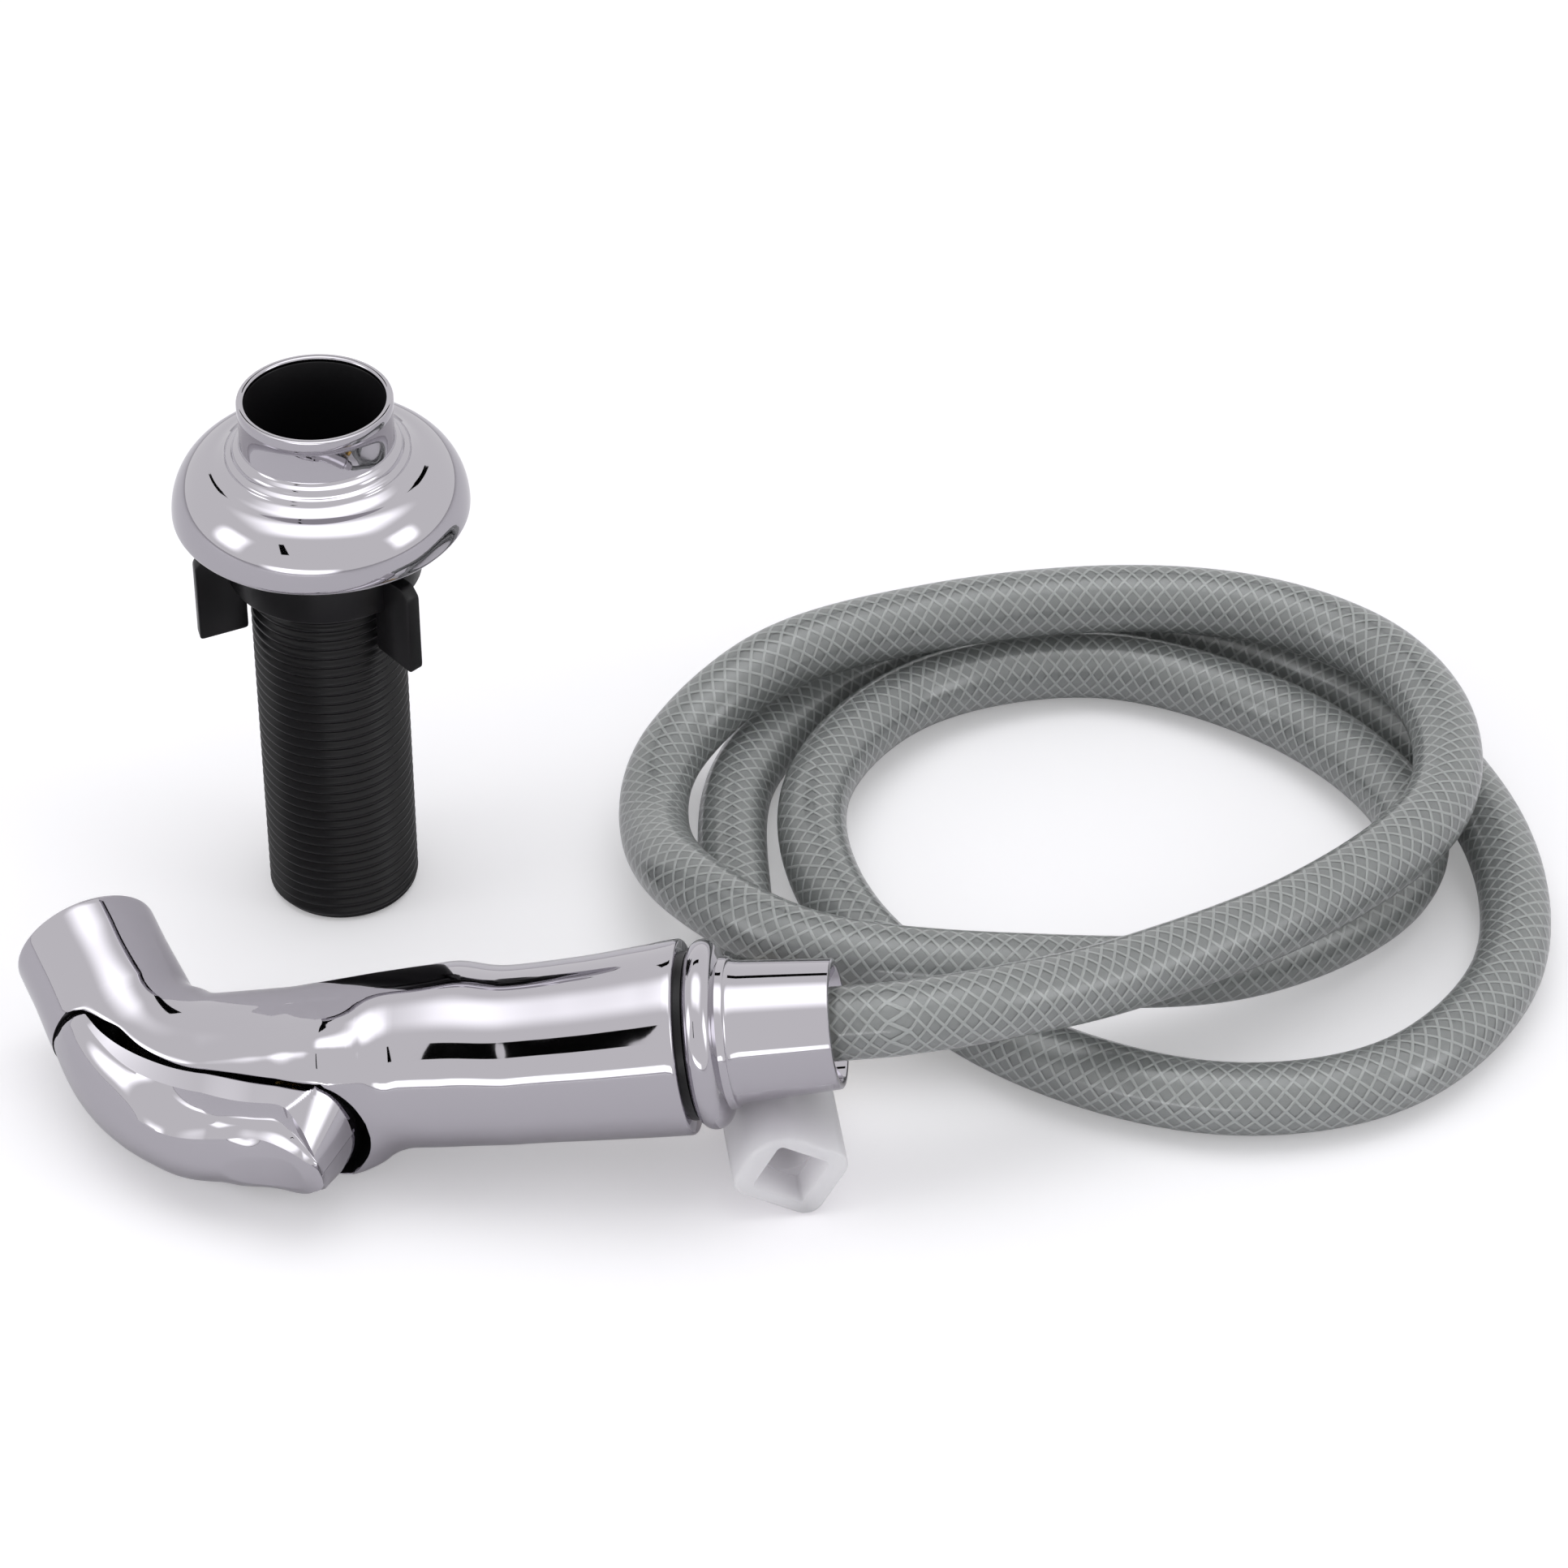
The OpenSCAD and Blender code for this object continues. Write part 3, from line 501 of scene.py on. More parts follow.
    def section(self, s, a, inset=0.0):
        """Outward and across position on the body's skin at angle a."""
        r = self.radius(s, a) - inset
        return blend(self.offsets, s) + r * math.cos(math.radians(a)), r * math.sin(math.radians(a))

    def edge_angle(self, s, z):
        """Angle at which the skin is z from the middle plane."""
        a = 0.0
        while a < 86 and self.section(s, a + 0.5)[1] < z:
            a += 0.5
        low, high = self.section(s, a)[1], self.section(s, a + 0.5)[1]
        return a + 0.5 * min(1.0, max(0.0, (z - low) / max(high - low, 1e-6)))

    def wall(self, s, u):
        """Half width of the lever at s and height u: straight sides, then the rear cone."""
        r = 14.8 - 0.53 * (u - 15)
        return min(blend(self.plan, s), math.sqrt(max(0.0, r * r - max(0.0, s - self.cone_s) ** 2)))


OUTER, INNER = 121, 12


def body_angles(form, s):
    """Angles of a ring's points: round the back, then across the lever's side."""
    a = form.edge_angle(s, blend(form.pocket, s) + 0.5)
    return ([a + (360 - 2 * a) * i / (OUTER - 1) for i in range(OUTER)]
            + [360 - a + 2 * a * (i + 1) / (INNER + 1) for i in range(INNER)])


def body_ring(form, s, opened=False, inset=0.0):
    """One ring of the body, whole or cut by the lever's pocket."""
    angles = body_angles(form, s)
    ring = [form.section(s, a, inset) for a in angles]
    if opened:
        z, low = blend(form.pocket, s), blend(form.floor, s)
        start, corner = ring[0], form.section(s, form.edge_angle(s, z))
        wall = (corner[0] - 0.6, z)
        round_edge = [tuple(start[k] * (1 - t) ** 2 + corner[k] * 2 * t * (1 - t) + wall[k] * t * t
                            for k in (0, 1))
                      for t in (1 / 3, 2 / 3, 1)]
        side = round_edge + [((wall[0] + low) / 2, z), (low, z), (low, z / 3)]
        ring[OUTER:] = [(u, -v) for u, v in side] + side[::-1]
    return [form.at(s, u, v) for u, v in ring]


def plain_ring(form, s, r):
    """A round ring with as many points as the body's."""
    return [form.at(s, r * math.cos(math.radians(a)), r * math.sin(math.radians(a)))
            for a in body_angles(form, s)]


def make_body():
    """Bent chrome body with the lever's pocket, the spray end's bore and the rear bore."""
    form = HandsetForm()
    end = 52.5
    rings = [plain_ring(form, form.head_s + d, form.insert_r + 0.05) for d in (6, 0)]
    rings += [body_ring(form, form.head_s + d, inset=i)
              for d, i in ((0.0, 0.5), (0.08, 0.25), (0.25, 0.09), (0.6, 0))]
    rings += [body_ring(form, s) for s in stations((form.head_s + 1.5, -0.3, 1.0))]
    first = len(rings)
    rings += [body_ring(form, s, True) for s in stations((-0.3, 3, 0.25), (3, 44, 0.8), (44, end - 1, 0.3),
                                                         (end - 1, end, 0.1))]
    last = len(rings)
    rings += [body_ring(form, s) for s in stations((end, end + 4, 0.4), (end + 4, form.tail_s - 0.8, 1.0))]
    rings += [body_ring(form, form.tail_s - d, inset=i) for d, i in ((0.4, 0.06), (0.15, 0.25), (0.0, 0.6))]
    rings += [plain_ring(form, form.tail_s, 10.3), plain_ring(form, form.tail_s - 14, 10.3)]
    points, faces = join_rings(rings)
    n = OUTER + INNER
    parts = []
    for f in range(len(faces)):
        k, i = divmod(f, n)
        # Painted shade: the pocket's lower walls, floor and end faces take the black finish, partly for the
        # shade in the deep gap, partly for the unplated inside.
        inside = first <= k < last - 1 and OUTER + 2 <= i <= OUTER + 8
        ends = k in (first - 1, last - 1) and i >= OUTER - 1
        parts.append(1 if inside or ends else 0)
    return make_piece("handset_shell", in_hand(points), faces, [chrome_plated_zinc(), black_acetal_and_pocket_shade()],
                      parts, sharp=40)


WALL, SCOOP, TOP = 14, 20, 24


def lever_half(form, s):
    """Points of one half of the lever's section, from the seam up to the crest."""
    low, crest = even(form.rim, s), even(form.crest, s)
    end = 15 + (14.8 - (s - form.cone_s)) / 0.53
    if s > 45.2:
        crest = min(crest, end)
    reach = min(3.0, max(0.0, 45.5 - s))
    ridge_z = even(form.ridge_z, s, reach)
    arc = low + (crest - low) * math.sqrt(max(0.0, 1 - (ridge_z / blend(form.plan, s)) ** 2))
    ridge_u = arc + (even(form.ridge_u, s, reach) - arc) * step_up(17, 27, s)
    edge_u = min(even(form.crease, s, reach), crest)
    ridge_u = min(max(ridge_u, edge_u), crest)
    # side wall, or the rear cone
    half = []
    for i in range(WALL):
        u = low + (edge_u - low) * i / WALL
        half.append((u, form.wall(s, u) - 0.1 * i / WALL))
    edge_z = max(form.wall(s, edge_u) - 0.1, min(ridge_z, form.wall(s, edge_u)))
    ridge_z = min(ridge_z, edge_z)
    # hollow between the crease and the ridge, which runs out as a round shoulder towards the nose
    hollow = step_up(13, 27, s)
    rise = ridge_u - edge_u
    control = [(edge_u, edge_z), (edge_u + 0.25 * rise, edge_z - 0.75 * (edge_z - ridge_z)),
               (ridge_u - 0.55 * rise, ridge_z + 0.1), (ridge_u, ridge_z)]
    a0 = math.asin(min(1.0, max(0.0, (edge_u - low) / max(crest - low, 1e-6))))
    a1 = math.asin(min(1.0, max(0.0, (ridge_u - low) / max(crest - low, 1e-6))))
    for i in range(SCOOP):
        t = i / SCOOP
        weights = ((1 - t) ** 3, 3 * t * (1 - t) ** 2, 3 * t * t * (1 - t), t ** 3)
        bowl = [sum(w * c[k] for w, c in zip(weights, control)) for k in (0, 1)]
        a = a0 + (a1 - a0) * t
        round_u = low + (crest - low) * math.sin(a)
        share = (math.cos(a0) - math.cos(a)) / max(math.cos(a0) - math.cos(a1), 1e-6)
        spread = edge_z + (ridge_z - edge_z) * share
        half.append((round_u + (bowl[0] - round_u) * hollow, spread + (bowl[1] - spread) * hollow))
    # crowned top, cut off flat over an oval pad
    pad = crest - 0.9 * max(0.0, 1 - ((s - 34) / 7.5) ** 2)
    for i in range(TOP + 1):
        t = i / TOP
        u = ridge_u + (crest - ridge_u) * (1 - (1 - t) ** 2)
        half.append((min(u, pad), ridge_z * (1 - t)))
    return half


def lever_ring(form, s):
    """One ring of the hollow lever: its skin, then its inside."""
    half = lever_half(form, s)
    skin = half + [(u, -z) for u, z in reversed(half[:-1])]
    q = min(max(s, 2.6), form.lever_l - 4.5)
    low, top = even(form.rim, q), min(even(form.crest, q), 15 + (14.8 - q + form.cone_s) / 0.53) - 2.6
    w = form.wall(q, low) - 2.4
    inside = []
    for i in range(len(skin) - 1, -1, -1):
        t = math.pi * i / (len(skin) - 1)
        inside.append((low + max(0.3, top - low) * abs(math.sin(t)) ** 0.83,
                       w * math.copysign(abs(math.cos(t)) ** 0.83, math.cos(t))))
    return [form.at(s, u, z) for u, z in skin] + [form.at(q, u, z) for u, z in inside]


def make_lever():
    """Thumb lever: side hollow under a ridge, oval pad and tapered rear block."""
    form = HandsetForm()
    last = form.lever_l - 0.7
    runs = ((0, 3, 0.25), (3, 24, 0.5), (24, 36, 0.3), (36, last - 2, 0.2), (last - 2, last, 0.1))
    rings = [lever_ring(form, s) for s in stations(*runs)]
    points, faces = join_rings(rings, capped=False)
    n, m = len(rings[0]), len(rings)
    arch = n // 2 - 1
    for i in range(arch):
        faces.append((i, n - 1 - i, n - 2 - i, i + 1))
        k = (m - 1) * n
        faces.append((k + i, k + i + 1, k + n - 2 - i, k + n - 1 - i))
    return make_piece("thumb_lever", in_hand(points), faces, [chrome_plated_zinc()], sharp=28)


def make_coupling():
    """Chrome coupling: spigot, bead and sleeve round the hose."""
    size = bpy.context.scene.sprayer_handset
    bead, sleeve = size.bead_diameter / MM / 2, size.sleeve_diameter / MM / 2
    w, long, bore = 5.4, 25.8, 4.25
    profile = [(bore, 0), (bore, -5), (7.8, -5), (7.8, -14), (10.2, -14), (10.2, 0), (14.6, 0)]
    profile += [(bead - w / 2 + w / 2 * math.cos(math.radians(a)), w / 2 + w / 2 * math.sin(math.radians(a)))
                for a in range(-75, 80, 6)]
    profile += [(13.8, w + 0.4), (13.7, w + 1.0), (13.65, w + 1.5), (13.5, w + 1.75), (13.2, w + 1.9),
                (13.0, w + 2.2), (12.9, w + 2.6), (12.8, w + 3.2), (12.7, w + 4), (sleeve, long - 0.5),
                (sleeve - 0.08, long - 0.2), (sleeve - 0.3, long - 0.04), (sleeve - 0.6, long),
                (sleeve - 1.0, long), (sleeve - 1.25, long - 0.1), (sleeve - 1.4, long - 0.4),
                (sleeve - 1.4, 6), (bore, 6)]
    points, faces = join_rings(turned(profile, 192), closed=True)
    start = form_x(100.2)
    return make_piece("coupling_sleeve", [tuple(start @ Vector(p)) for p in points], faces,
                      [chrome_plated_zinc()], sharp=30)


def form_x(x):
    """Place on the handle's axis, with z along it to the rear."""
    return HAND_PLACE @ Matrix.Translation((x, 0, 0)) @ Matrix.Rotation(math.radians(90), 4, "Y")


# ---------------------------------------------------------------- holder

def make_shank():
    """Threaded shank with the cup's liner in one piece."""
    size = bpy.context.scene.sprayer_holder
    r, top = size.shank_diameter / MM / 2, size.shank_height / MM
    pitch, depth = size.thread_pitch / MM, size.thread_depth / MM
    cup, drain = size.cup_bore / MM / 2, size.drain_bore / MM / 2
    liner, rim, groove = cup + 0.6, top + 25.4, 72.4
    count = 96
    rings = []
    for z in stations((0.0, groove - 0.6, pitch / 10)):
        ring = []
        for i in range(count):
            turn = i / count
            wave = 0.5 - 0.5 * math.cos(math.tau * (z / pitch - turn))
            ends = step_up(0, 1.6, z + 0.4) * (1 - step_up(groove - 2.6, groove - 0.8, z))
            cut = depth * wave ** 1.4 * ends
            foot = 0.85 * (1 - step_up(0, 1.0, z))
            ring.append(((r - max(cut, foot)) * math.cos(math.tau * turn),
                         (r - max(cut, foot)) * math.sin(math.tau * turn), z))
        rings.append(ring)
    profile = [(r, groove), (r - 0.6, groove + 0.2), (r - 0.6, groove + 0.7), (r, groove + 0.9), (r, top),
               (liner, top), (liner, rim - 0.9), (liner - 0.15, rim - 0.9), (cup + 0.12, rim - 0.9),
               (cup, rim - 1.1), (cup, top + 1.1), (cup - 0.2, top + 1.0), (drain + 0.3, top + 0.1),
               (drain, top - 0.2), (drain, 0.4), (drain + 0.3, 0)]
    rings += turned(profile, count)
    points, faces = join_rings(rings, closed=True)
    return make_piece("threaded_shank", points, faces, [black_acetal_and_pocket_shade()], sharp=50)


def make_flange():
    """Chrome flange: collar, stepped foot of the collar and domed skirt."""
    size = bpy.context.scene.sprayer_holder
    top, cup = size.shank_height / MM, size.cup_bore / MM / 2
    seat, base = cup + 0.65, top - 0.5
    collar = seat + 0.75
    equator = base + 2.3
    rise, rim_r = size.dome_height / MM, size.flange_diameter / MM / 2
    dome = equator + rise
    rim = dome + 3.6 + size.collar_height / MM
    inner = rim_r - 8.2
    profile = [(seat, top), (seat, rim - 0.9), (cup + 0.1, rim - 0.9), (cup + 0.1, rim - 0.4),
               (cup + 0.18, rim - 0.15), (cup + 0.4, rim), (collar - 0.3, rim), (collar - 0.08, rim - 0.1),
               (collar + 0.05, rim - 0.4), (collar + 0.05, rim - 1.8), (collar, rim - 2.1),
                (collar - 0.1, rim - 2.4),
               (collar - 0.1, dome + 4.4), (collar + 0.05, dome + 3.9), (collar + 0.4, dome + 3.6),
               (collar + 1.0, dome + 3.4), (collar + 1.3, dome + 3.1), (collar + 1.42, dome + 2.7),
               (collar + 1.6, dome + 2.3), (collar + 2.0, dome + 2.1), (collar + 2.4, dome + 2.0),
               (collar + 2.65, dome + 1.75), (collar + 2.72, dome + 1.4), (collar + 2.9, dome + 1.1),
               (collar + 3.5, dome + 0.85), (collar + 4.2, dome + 0.4)]
    profile += [(inner + 8.2 * math.cos(math.radians(a)), equator + rise * math.sin(math.radians(a)))
                for a in range(88, 0, -4)]
    profile += [(inner + 8.2 * math.cos(math.radians(a)), equator - 2.3 / math.sin(math.radians(60))
                 * math.sin(math.radians(a))) for a in range(0, 64, 6)]
    profile += [(inner + 3, base), (inner + 3, base + 2.9), (seat + 3.6, base + 2.9), (seat + 3.6, top)]
    points, faces = join_rings(turned(profile, 224), closed=True)
    return make_piece("chrome_flange", points, faces, [chrome_plated_zinc()], sharp=38)


def make_wing_nut():
    """Black wing nut: a ring with flat wings hanging from it."""
    size = bpy.context.scene.sprayer_holder
    bore, r, top = size.shank_diameter / MM / 2 + 0.05, size.ring_diameter / MM / 2, 81.6
    ring = softened([(bore, top - 8), (r, top - 8), (r, top), (bore, top)], 0.5)
    points, faces = join_rings(turned(ring, 128), closed=True)
    reach, tall, thick = size.wing_reach / MM, size.wing_height / MM, 3.0
    low = top - 0.8 - tall
    side = softened([(bore + 0.9, low + 1.2), (reach, low), (reach, top - 2.8), (reach - 1.8, top - 0.8),
                     (bore + 0.9, top - 0.8)], 0.7)
    middle = Vector((sum(p[0] for p in side) / len(side), sum(p[1] for p in side) / len(side)))
    for k in range(size.wing_count):
        turn = Matrix.Rotation(size.wing_direction + math.tau * k / size.wing_count, 3, "Z")
        layers = []
        for across, inset in ((-0.5, 0.45), (-0.45, 0.12), (-0.36, 0), (0.36, 0), (0.45, 0.12), (0.5, 0.45)):
            layer = []
            for x, z in side:
                away = Vector((x, z)) - middle
                x, z = middle + away * (1 - inset / away.length)
                layer.append(tuple(turn @ Vector((x, across * thick, z))))
            layers.append(layer)
        more, wing_faces = join_rings(layers)
        faces += [tuple(v + len(points) for v in f) for f in wing_faces]
        points += more
    return make_piece("black_wing_nut", points, faces, [black_acetal_and_pocket_shade()], sharp=40)


# ---------------------------------------------------------------- end nut

NUT_SPOT = Vector((86.1, -96.6, 9.9))
NUT_PLACE = (Matrix.Translation(NUT_SPOT) @ Matrix.Rotation(math.radians(7.6), 4, "Z")
             @ Matrix.Rotation(math.radians(90), 4, "X"))
NUT_TAIL = Vector((math.sin(math.radians(7.6)), -math.cos(math.radians(7.6)), 0))


def rounded_box(wide, high, radii, inset=0.0, steps=14):
    """Outline of a box with a radius for each corner, drawn in by inset."""
    made = []
    for k, r in enumerate(radii):
        r = max(r - inset, 0.05)
        cx = (1 if k in (0, 3) else -1) * (wide / 2 - inset - r)
        cy = (1 if k < 2 else -1) * (high / 2 - inset - r)
        for i in range(steps + 1):
            a = math.radians(90 * k + 90 * i / steps)
            made.append((cx + r * math.cos(a), cy + r * math.sin(a)))
    return made


def make_end_nut():
    """Milky end nut with a square mouth and a round bore behind it."""
    size = bpy.context.scene.sprayer_nut
    wide, high, long = size.width / MM, size.height / MM, size.depth / MM
    mouth, deep = size.mouth_width / MM, size.mouth_depth / MM
    corners = (3.5, 7.4, 3.5, 3.5)
    layers = [(rounded_box(wide, high, corners, i), z) for i, z in
              ((0.8, -long), (0.25, -long + 0.25), (0, -long + 0.8), (0, -0.9), (0.07, -0.5), (0.3, -0.15),
               (0.75, 0))]
    layers += [(rounded_box(mouth, mouth, (0.9,) * 4, i), z) for i, z in
               ((-0.5, 0), (-0.15, -0.15), (0, -0.5), (0, -deep))]
    layers += [(rounded_box(9.52, 9.52, (4.7,) * 4), z) for z in (-deep, -deep - 11)]
    roll = Matrix.Rotation(math.radians(-29.3), 4, "Z")
    rings = [[tuple(NUT_PLACE @ roll @ Vector((x, y, z))) for x, y in outline] for outline, z in layers]
    points, faces = join_rings(rings)
    return make_piece("milky_end_nut", points, faces, [milky_nylon()], sharp=40)


# ---------------------------------------------------------------- hose

HOSE_LAY = (
    (123, -78, 34.5), (148, -63, 29), (182, -38, 24), (207, -10, 22), (212, 18, 21.5), (202, 42, 21),
    (180, 57, 20.5), (151, 61, 20.5), (116, 54, 21.5), (84, 40, 21.5), (64, 21, 15), (60, -2, 13.5),
    (68, -29, 20.5), (91, -50, 23.5), (128, -53, 21), (169, -41, 12), (199, -18, 8.5), (205, 9, 8),
    (184, 40, 7), (148, 57, 6.9), (111, 45, 8.5), (91, 13, 9.5), (97, -23, 8), (125, -56, 7),
    (162, -73, 7.5), (197, -66, 7), (220, -37, 6.7), (222, 2, 6.7), (205, 40, 6.7), (174, 65, 6.7),
    (135, 72, 6.7), (99, 55, 6.7), (77, 21, 7), (76, -19, 7))


def hose_line(step=1.0):
    """Centreline of the hose from the coupling to the end nut, in millimetres, at an even step."""
    on_axis = lambda x: HAND_PLACE @ Vector((x, 0, 0))
    knots = [on_axis(136.0)] + [Vector(p) for p in HOSE_LAY] + [NUT_SPOT - 44 * NUT_TAIL]
    ends = [2 * knots[0] - knots[1]] + knots + [2 * knots[-1] - knots[-2]]
    fine = [on_axis(112.2)]
    for i in range(1, len(ends) - 2):
        a, b, c, d = ends[i - 1:i + 3]
        for j in range(24):
            t = j / 24
            fine.append(0.5 * (2 * b + (c - a) * t + (2 * a - 5 * b + 4 * c - d) * t * t
                               + (3 * b - a - 3 * c + d) * t ** 3))
    fine += [knots[-1], NUT_SPOT - 30 * NUT_TAIL]
    runs = [0.0]
    for a, b in zip(fine, fine[1:]):
        runs.append(runs[-1] + (b - a).length)
    count = round(runs[-1] / step)
    line, k = [], 0
    for i in range(count + 1):
        d = runs[-1] * i / count
        while k < len(runs) - 2 and runs[k + 1] < d:
            k += 1
        line.append(fine[k].lerp(fine[k + 1], (d - runs[k]) / (runs[k + 1] - runs[k])))
    return line, runs[-1]


def hose_axes(line):
    """Sideways and upward axes at each point of the hose's line."""
    axes = []
    for i in range(len(line)):
        ahead = (line[min(i + 1, len(line) - 1)] - line[max(i - 1, 0)]).normalized()
        side = Vector((0, 0, 1)).cross(ahead).normalized()
        axes.append((side, ahead.cross(side)))
    return axes


def make_hose():
    """Clear hose: glossy outer wall, tinted inner layer and crossing yarns between them."""
    size = bpy.context.scene.sprayer_hose
    line, run = hose_line()
    axes = hose_axes(line)
    outer, core = size.diameter / MM / 2, size.core_diameter / MM / 2
    points, faces, parts = [], [], []

    def add_tube(r, count, every, part):
        rings = [[line[i] + r * (math.cos(math.tau * k / count) * axes[i][0]
                                 + math.sin(math.tau * k / count) * axes[i][1]) for k in range(count)]
                 for i in sorted({*range(0, len(line), every), len(line) - 1})]
        more, tube_faces = join_rings(rings)
        faces.extend(tuple(v + len(points) for v in f) for f in tube_faces)
        parts.extend([part] * len(tube_faces))
        points.extend(more)

    add_tube(outer, 40, 2, 0)
    add_tube(core, 28, 2, 1)
    half, yarns, lead = size.yarn_width / MM / 2, size.yarn_count, size.yarn_lead / MM
    step = run / (len(line) - 1)
    for way in (1, -1):
        for k in range(yarns):
            rings = []
            for i in range(1, len(line) - 1):
                d = i * step
                turn = math.tau * (k / yarns + way * d / lead)
                # each yarn passes over two others, then under two
                weave = 0.11 * way * math.sin(math.tau * (d / lead * yarns / 2 + k * 0.5 * way))
                out = math.cos(turn) * axes[i][0] + math.sin(turn) * axes[i][1]
                round_way = -math.sin(turn) * axes[i][0] + math.cos(turn) * axes[i][1]
                r = core + 0.22 + weave
                heart = line[i] + r * out
                rings.append([heart + half * round_way, heart + 0.13 * out, heart - half * round_way,
                              heart - 0.13 * out])
            more, yarn_faces = join_rings(rings)
            faces.extend(tuple(v + len(points) for v in f) for f in yarn_faces)
            parts.extend([2] * len(yarn_faces))
            points.extend(more)
    piece = make_piece("braided_hose", points, faces, [clear_pvc(), tinted_pvc(), polyester_yarn()], parts,
                       sharp=60)
    return piece, line, run


# ---------------------------------------------------------------- operators

class SPRAYER_OT_camera(bpy.types.Operator):
    """Adds the camera that looks down on the sprayer from the front"""
    bl_idname = "sprayer.camera"
    bl_label = "Camera"

    def execute(self, context):
        lens = bpy.data.cameras.new("front_camera")
        lens.lens, lens.sensor_width, lens.clip_start = 128.35, 36, 0.05
        camera = bpy.data.objects.new("front_camera", lens)
        camera.location = (0.0848, -0.8314, 0.6885)
        camera.rotation_euler = (math.radians(90 - 38.717), 0, 0)
        context.scene.collection.objects.link(camera)
        context.scene.camera = camera
        return {"FINISHED"}


class SPRAYER_OT_hose(bpy.types.Operator):
    """Makes the braided hose and its milky end nut"""
    bl_idname = "sprayer.hose"
    bl_label = "Hose and end nut"

    def execute(self, context):
        nut = make_end_nut()
        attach(nut, "base")
        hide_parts("hose_nut")
        hose, line, run = make_hose()
        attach(hose, "base")
        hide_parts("hose")
        return {"FINISHED"}


class SPRAYER_OT_holder(bpy.types.Operator):
    """Makes the deck holder: threaded shank, chrome flange and wing nut"""
    bl_idname = "sprayer.holder"
    bl_label = "Deck holder"

    def execute(self, context):
        for make, body, node, slot in ((make_shank, "base", "holder_shank", "black_plastic"),
                                       (make_flange, "base", "holder_flange", "chrome_plate"),
                                       (make_wing_nut, "nut", "wing_nut", "black_plastic")):
            piece = make()
            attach(piece, body)
            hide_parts(node)
        return {"FINISHED"}


class SPRAYER_OT_handset(bpy.types.Operator):
    """Makes the chrome handset: bent body, thumb lever and coupling"""
    bl_idname = "sprayer.handset"
    bl_label = "Handset"

    def execute(self, context):
        for make, body, node in ((make_body, "base", "handset_body"), (make_lever, "lever", "trigger_lever"),
                                 (make_coupling, "base", "base_coupling")):
            piece = make()
            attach(piece, body)
            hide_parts(node)
        return {"FINISHED"}


class SPRAYER_OT_small_parts(bpy.types.Operator):
    """Gives the seals, pins, valve parts and fittings their finishes"""
    bl_idname = "sprayer.small_parts"
    bl_label = "Small parts"

    def execute(self, context):
        kinds = ((chrome_plated_zinc, ("spray_insert",)),
                 (turned_brass, ("lever_pin", "valve_seat", "valve_cap", "valve_stem", "hose_nipple",
                                 "retaining_clip", "hose_ferrule", "tail_ferrule", "hose_tail")),
                 (moulded_epdm, ("flange_gasket", "nut_washer", "spray_seal", "valve_seal", "nipple_oring",
                                 "hose_nut_washer")),
                 (black_acetal_and_pocket_shade, ("coupling_washer",)))
        for finish, names in kinds:
            for name in names:
                mesh = CAD_NODES[name].data
                mesh.materials.clear()
                mesh.materials.append(finish())
        return {"FINISHED"}


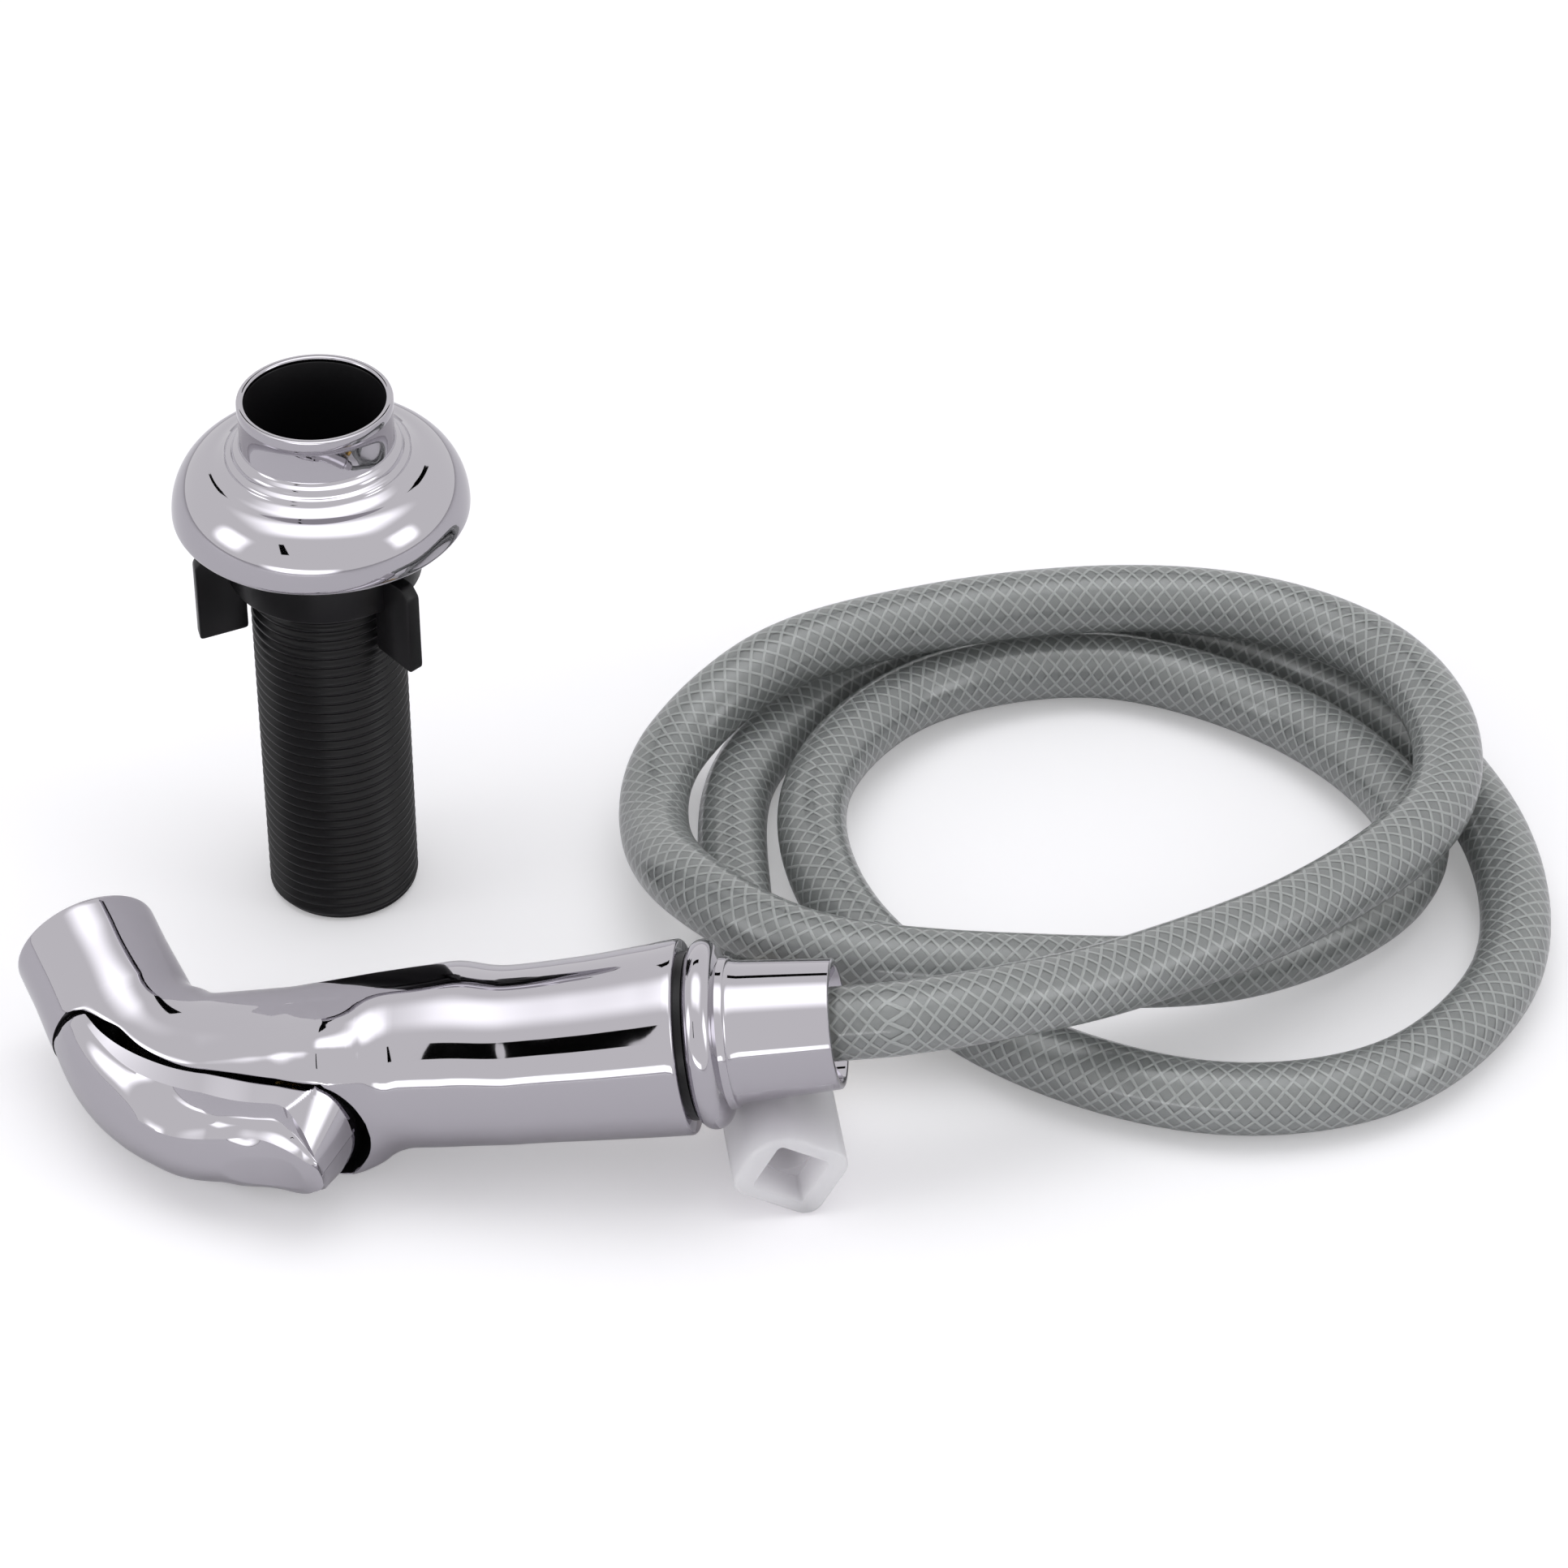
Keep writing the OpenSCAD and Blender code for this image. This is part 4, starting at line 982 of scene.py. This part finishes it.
class SPRAYER_OT_stage(bpy.types.Operator):
    """Adds the white floor, the soft studio lights and their flags"""
    bl_idname = "sprayer.stage"
    bl_label = "Stage"

    def execute(self, context):
        scene = context.scene
        board = make_piece("floor_board", [(-9000, -9000, -0.4), (9000, -9000, -0.4), (9000, 9000, -0.4),
                                           (-9000, 9000, -0.4)], [(0, 1, 2, 3)], [painted_board()])
        middle = Vector((0.09, 0.0, 0.04))
        for name, spot, wide, tall, power in (
                ("overhead_softbox", (0.1, 0.1, 1.7), 2.6, 1.8, 26),
                ("left_softbox", (-1.5, -0.5, 0.75), 1.0, 1.2, 9),
                ("right_softbox", (1.7, -0.6, 0.8), 1.0, 1.2, 9),
                ("front_card", (-0.2, -1.05, 0.1), 1.3, 0.18, 2.6)):
            lamp = bpy.data.lights.new(name, "AREA")
            lamp.shape, lamp.size, lamp.size_y, lamp.energy = "RECTANGLE", wide, tall, power
            lamp.color = (0.97, 0.985, 1.0)
            soft_edges(lamp)
            box = bpy.data.objects.new(name, lamp)
            box.location = spot
            box.rotation_euler = (middle - Vector(spot)).to_track_quat("-Z", "Y").to_euler()
            box.visible_camera = False
            scene.collection.objects.link(box)
        # Only mirrors see these: two black flags, and a card that hides the black shank from the head. The
        # card is a painted reflection: a pale sheet, seen only in the head's chrome, laid over the black
        # shank's true reflection.
        for name, cloth, corners in (
                ("rear_flag", black_flag_cloth(),
                 ((-600, 1500, 1250), (350, 1500, 1250), (350, 1380, 1450), (-600, 1380, 1450))),
                ("front_flag", black_flag_cloth(),
                 ((-560, -1050, 720), (-420, -1050, 720), (-675, -1050, 1500), (-795, -1050, 1500))),
                ("head_card", painted_board(), ((-32, -10, 1), (-4, -33, 1), (-4, -33, 76), (-32, -10, 76)))):
            flag = make_piece(name, corners, [(0, 1, 2, 3)], [cloth])
            flag.visible_camera = flag.visible_diffuse = flag.visible_shadow = False
        world = bpy.data.worlds.new("white_room")
        scene.world = world
        world.use_nodes = True
        tree = world.node_tree
        tree.nodes.clear()
        ray = add_node(tree, "ShaderNodeLightPath")
        seen = add_node(tree, "ShaderNodeMath", {
            0: ray.outputs["Is Camera Ray"], 1: ray.outputs["Is Glossy Ray"]}, operation="MAXIMUM")
        shown = add_node(tree, "ShaderNodeMath", {
            0: seen.outputs[0], 1: ray.outputs["Is Transmission Ray"]}, operation="MAXIMUM")
        soft = add_node(tree, "ShaderNodeBackground", {"Color": from_hex("#f5f4f8"), "Strength": ROOM_LEVEL})
        white = add_node(tree, "ShaderNodeBackground", {"Color": (1, 1, 1, 1), "Strength": 1.0})
        both = add_node(tree, "ShaderNodeMixShader",
                        {0: shown.outputs[0], 1: soft.outputs[0], 2: white.outputs[0]})
        add_node(tree, "ShaderNodeOutputWorld", {"Surface": both.outputs[0]})
        scene.view_settings.view_transform = "Standard"
        return {"FINISHED"}


class SPRAYER_PT_panel(bpy.types.Panel):
    """Lists the sprayer's pieces, sizes and colours"""
    bl_idname = "SPRAYER_PT_panel"
    bl_label = "Side sprayer"
    bl_space_type = "VIEW_3D"
    bl_region_type = "UI"
    bl_category = "Sprayer"

    def draw(self, context):
        for operator in OPERATORS:
            self.layout.operator(operator.bl_idname)
        for group in GROUPS:
            box = self.layout.box()
            for key in GROUPS[group].__annotations__:
                box.prop(getattr(context.scene, group), key)


OPERATORS = (SPRAYER_OT_camera, SPRAYER_OT_hose, SPRAYER_OT_holder, SPRAYER_OT_handset,
             SPRAYER_OT_small_parts, SPRAYER_OT_stage)
GROUPS = {"sprayer_holder": HolderSizes, "sprayer_handset": HandsetSizes, "sprayer_hose": HoseSizes,
          "sprayer_nut": EndNutSizes, "sprayer_finish": FinishColours}


def register():
    for group, kind in GROUPS.items():
        bpy.utils.register_class(kind)
        setattr(bpy.types.Scene, group, PointerProperty(type=kind))
    for operator in OPERATORS:
        bpy.utils.register_class(operator)
    bpy.utils.register_class(SPRAYER_PT_panel)


def unregister():
    bpy.utils.unregister_class(SPRAYER_PT_panel)
    for operator in reversed(OPERATORS):
        bpy.utils.unregister_class(operator)
    for group, kind in reversed(GROUPS.items()):
        delattr(bpy.types.Scene, group)
        bpy.utils.unregister_class(kind)


def main():
    register()
    bpy.ops.sprayer.camera()
    bpy.ops.sprayer.hose()
    bpy.ops.sprayer.holder()
    bpy.ops.sprayer.handset()
    bpy.ops.sprayer.small_parts()
    bpy.ops.sprayer.stage()


if __name__ == "__main__":
    main()
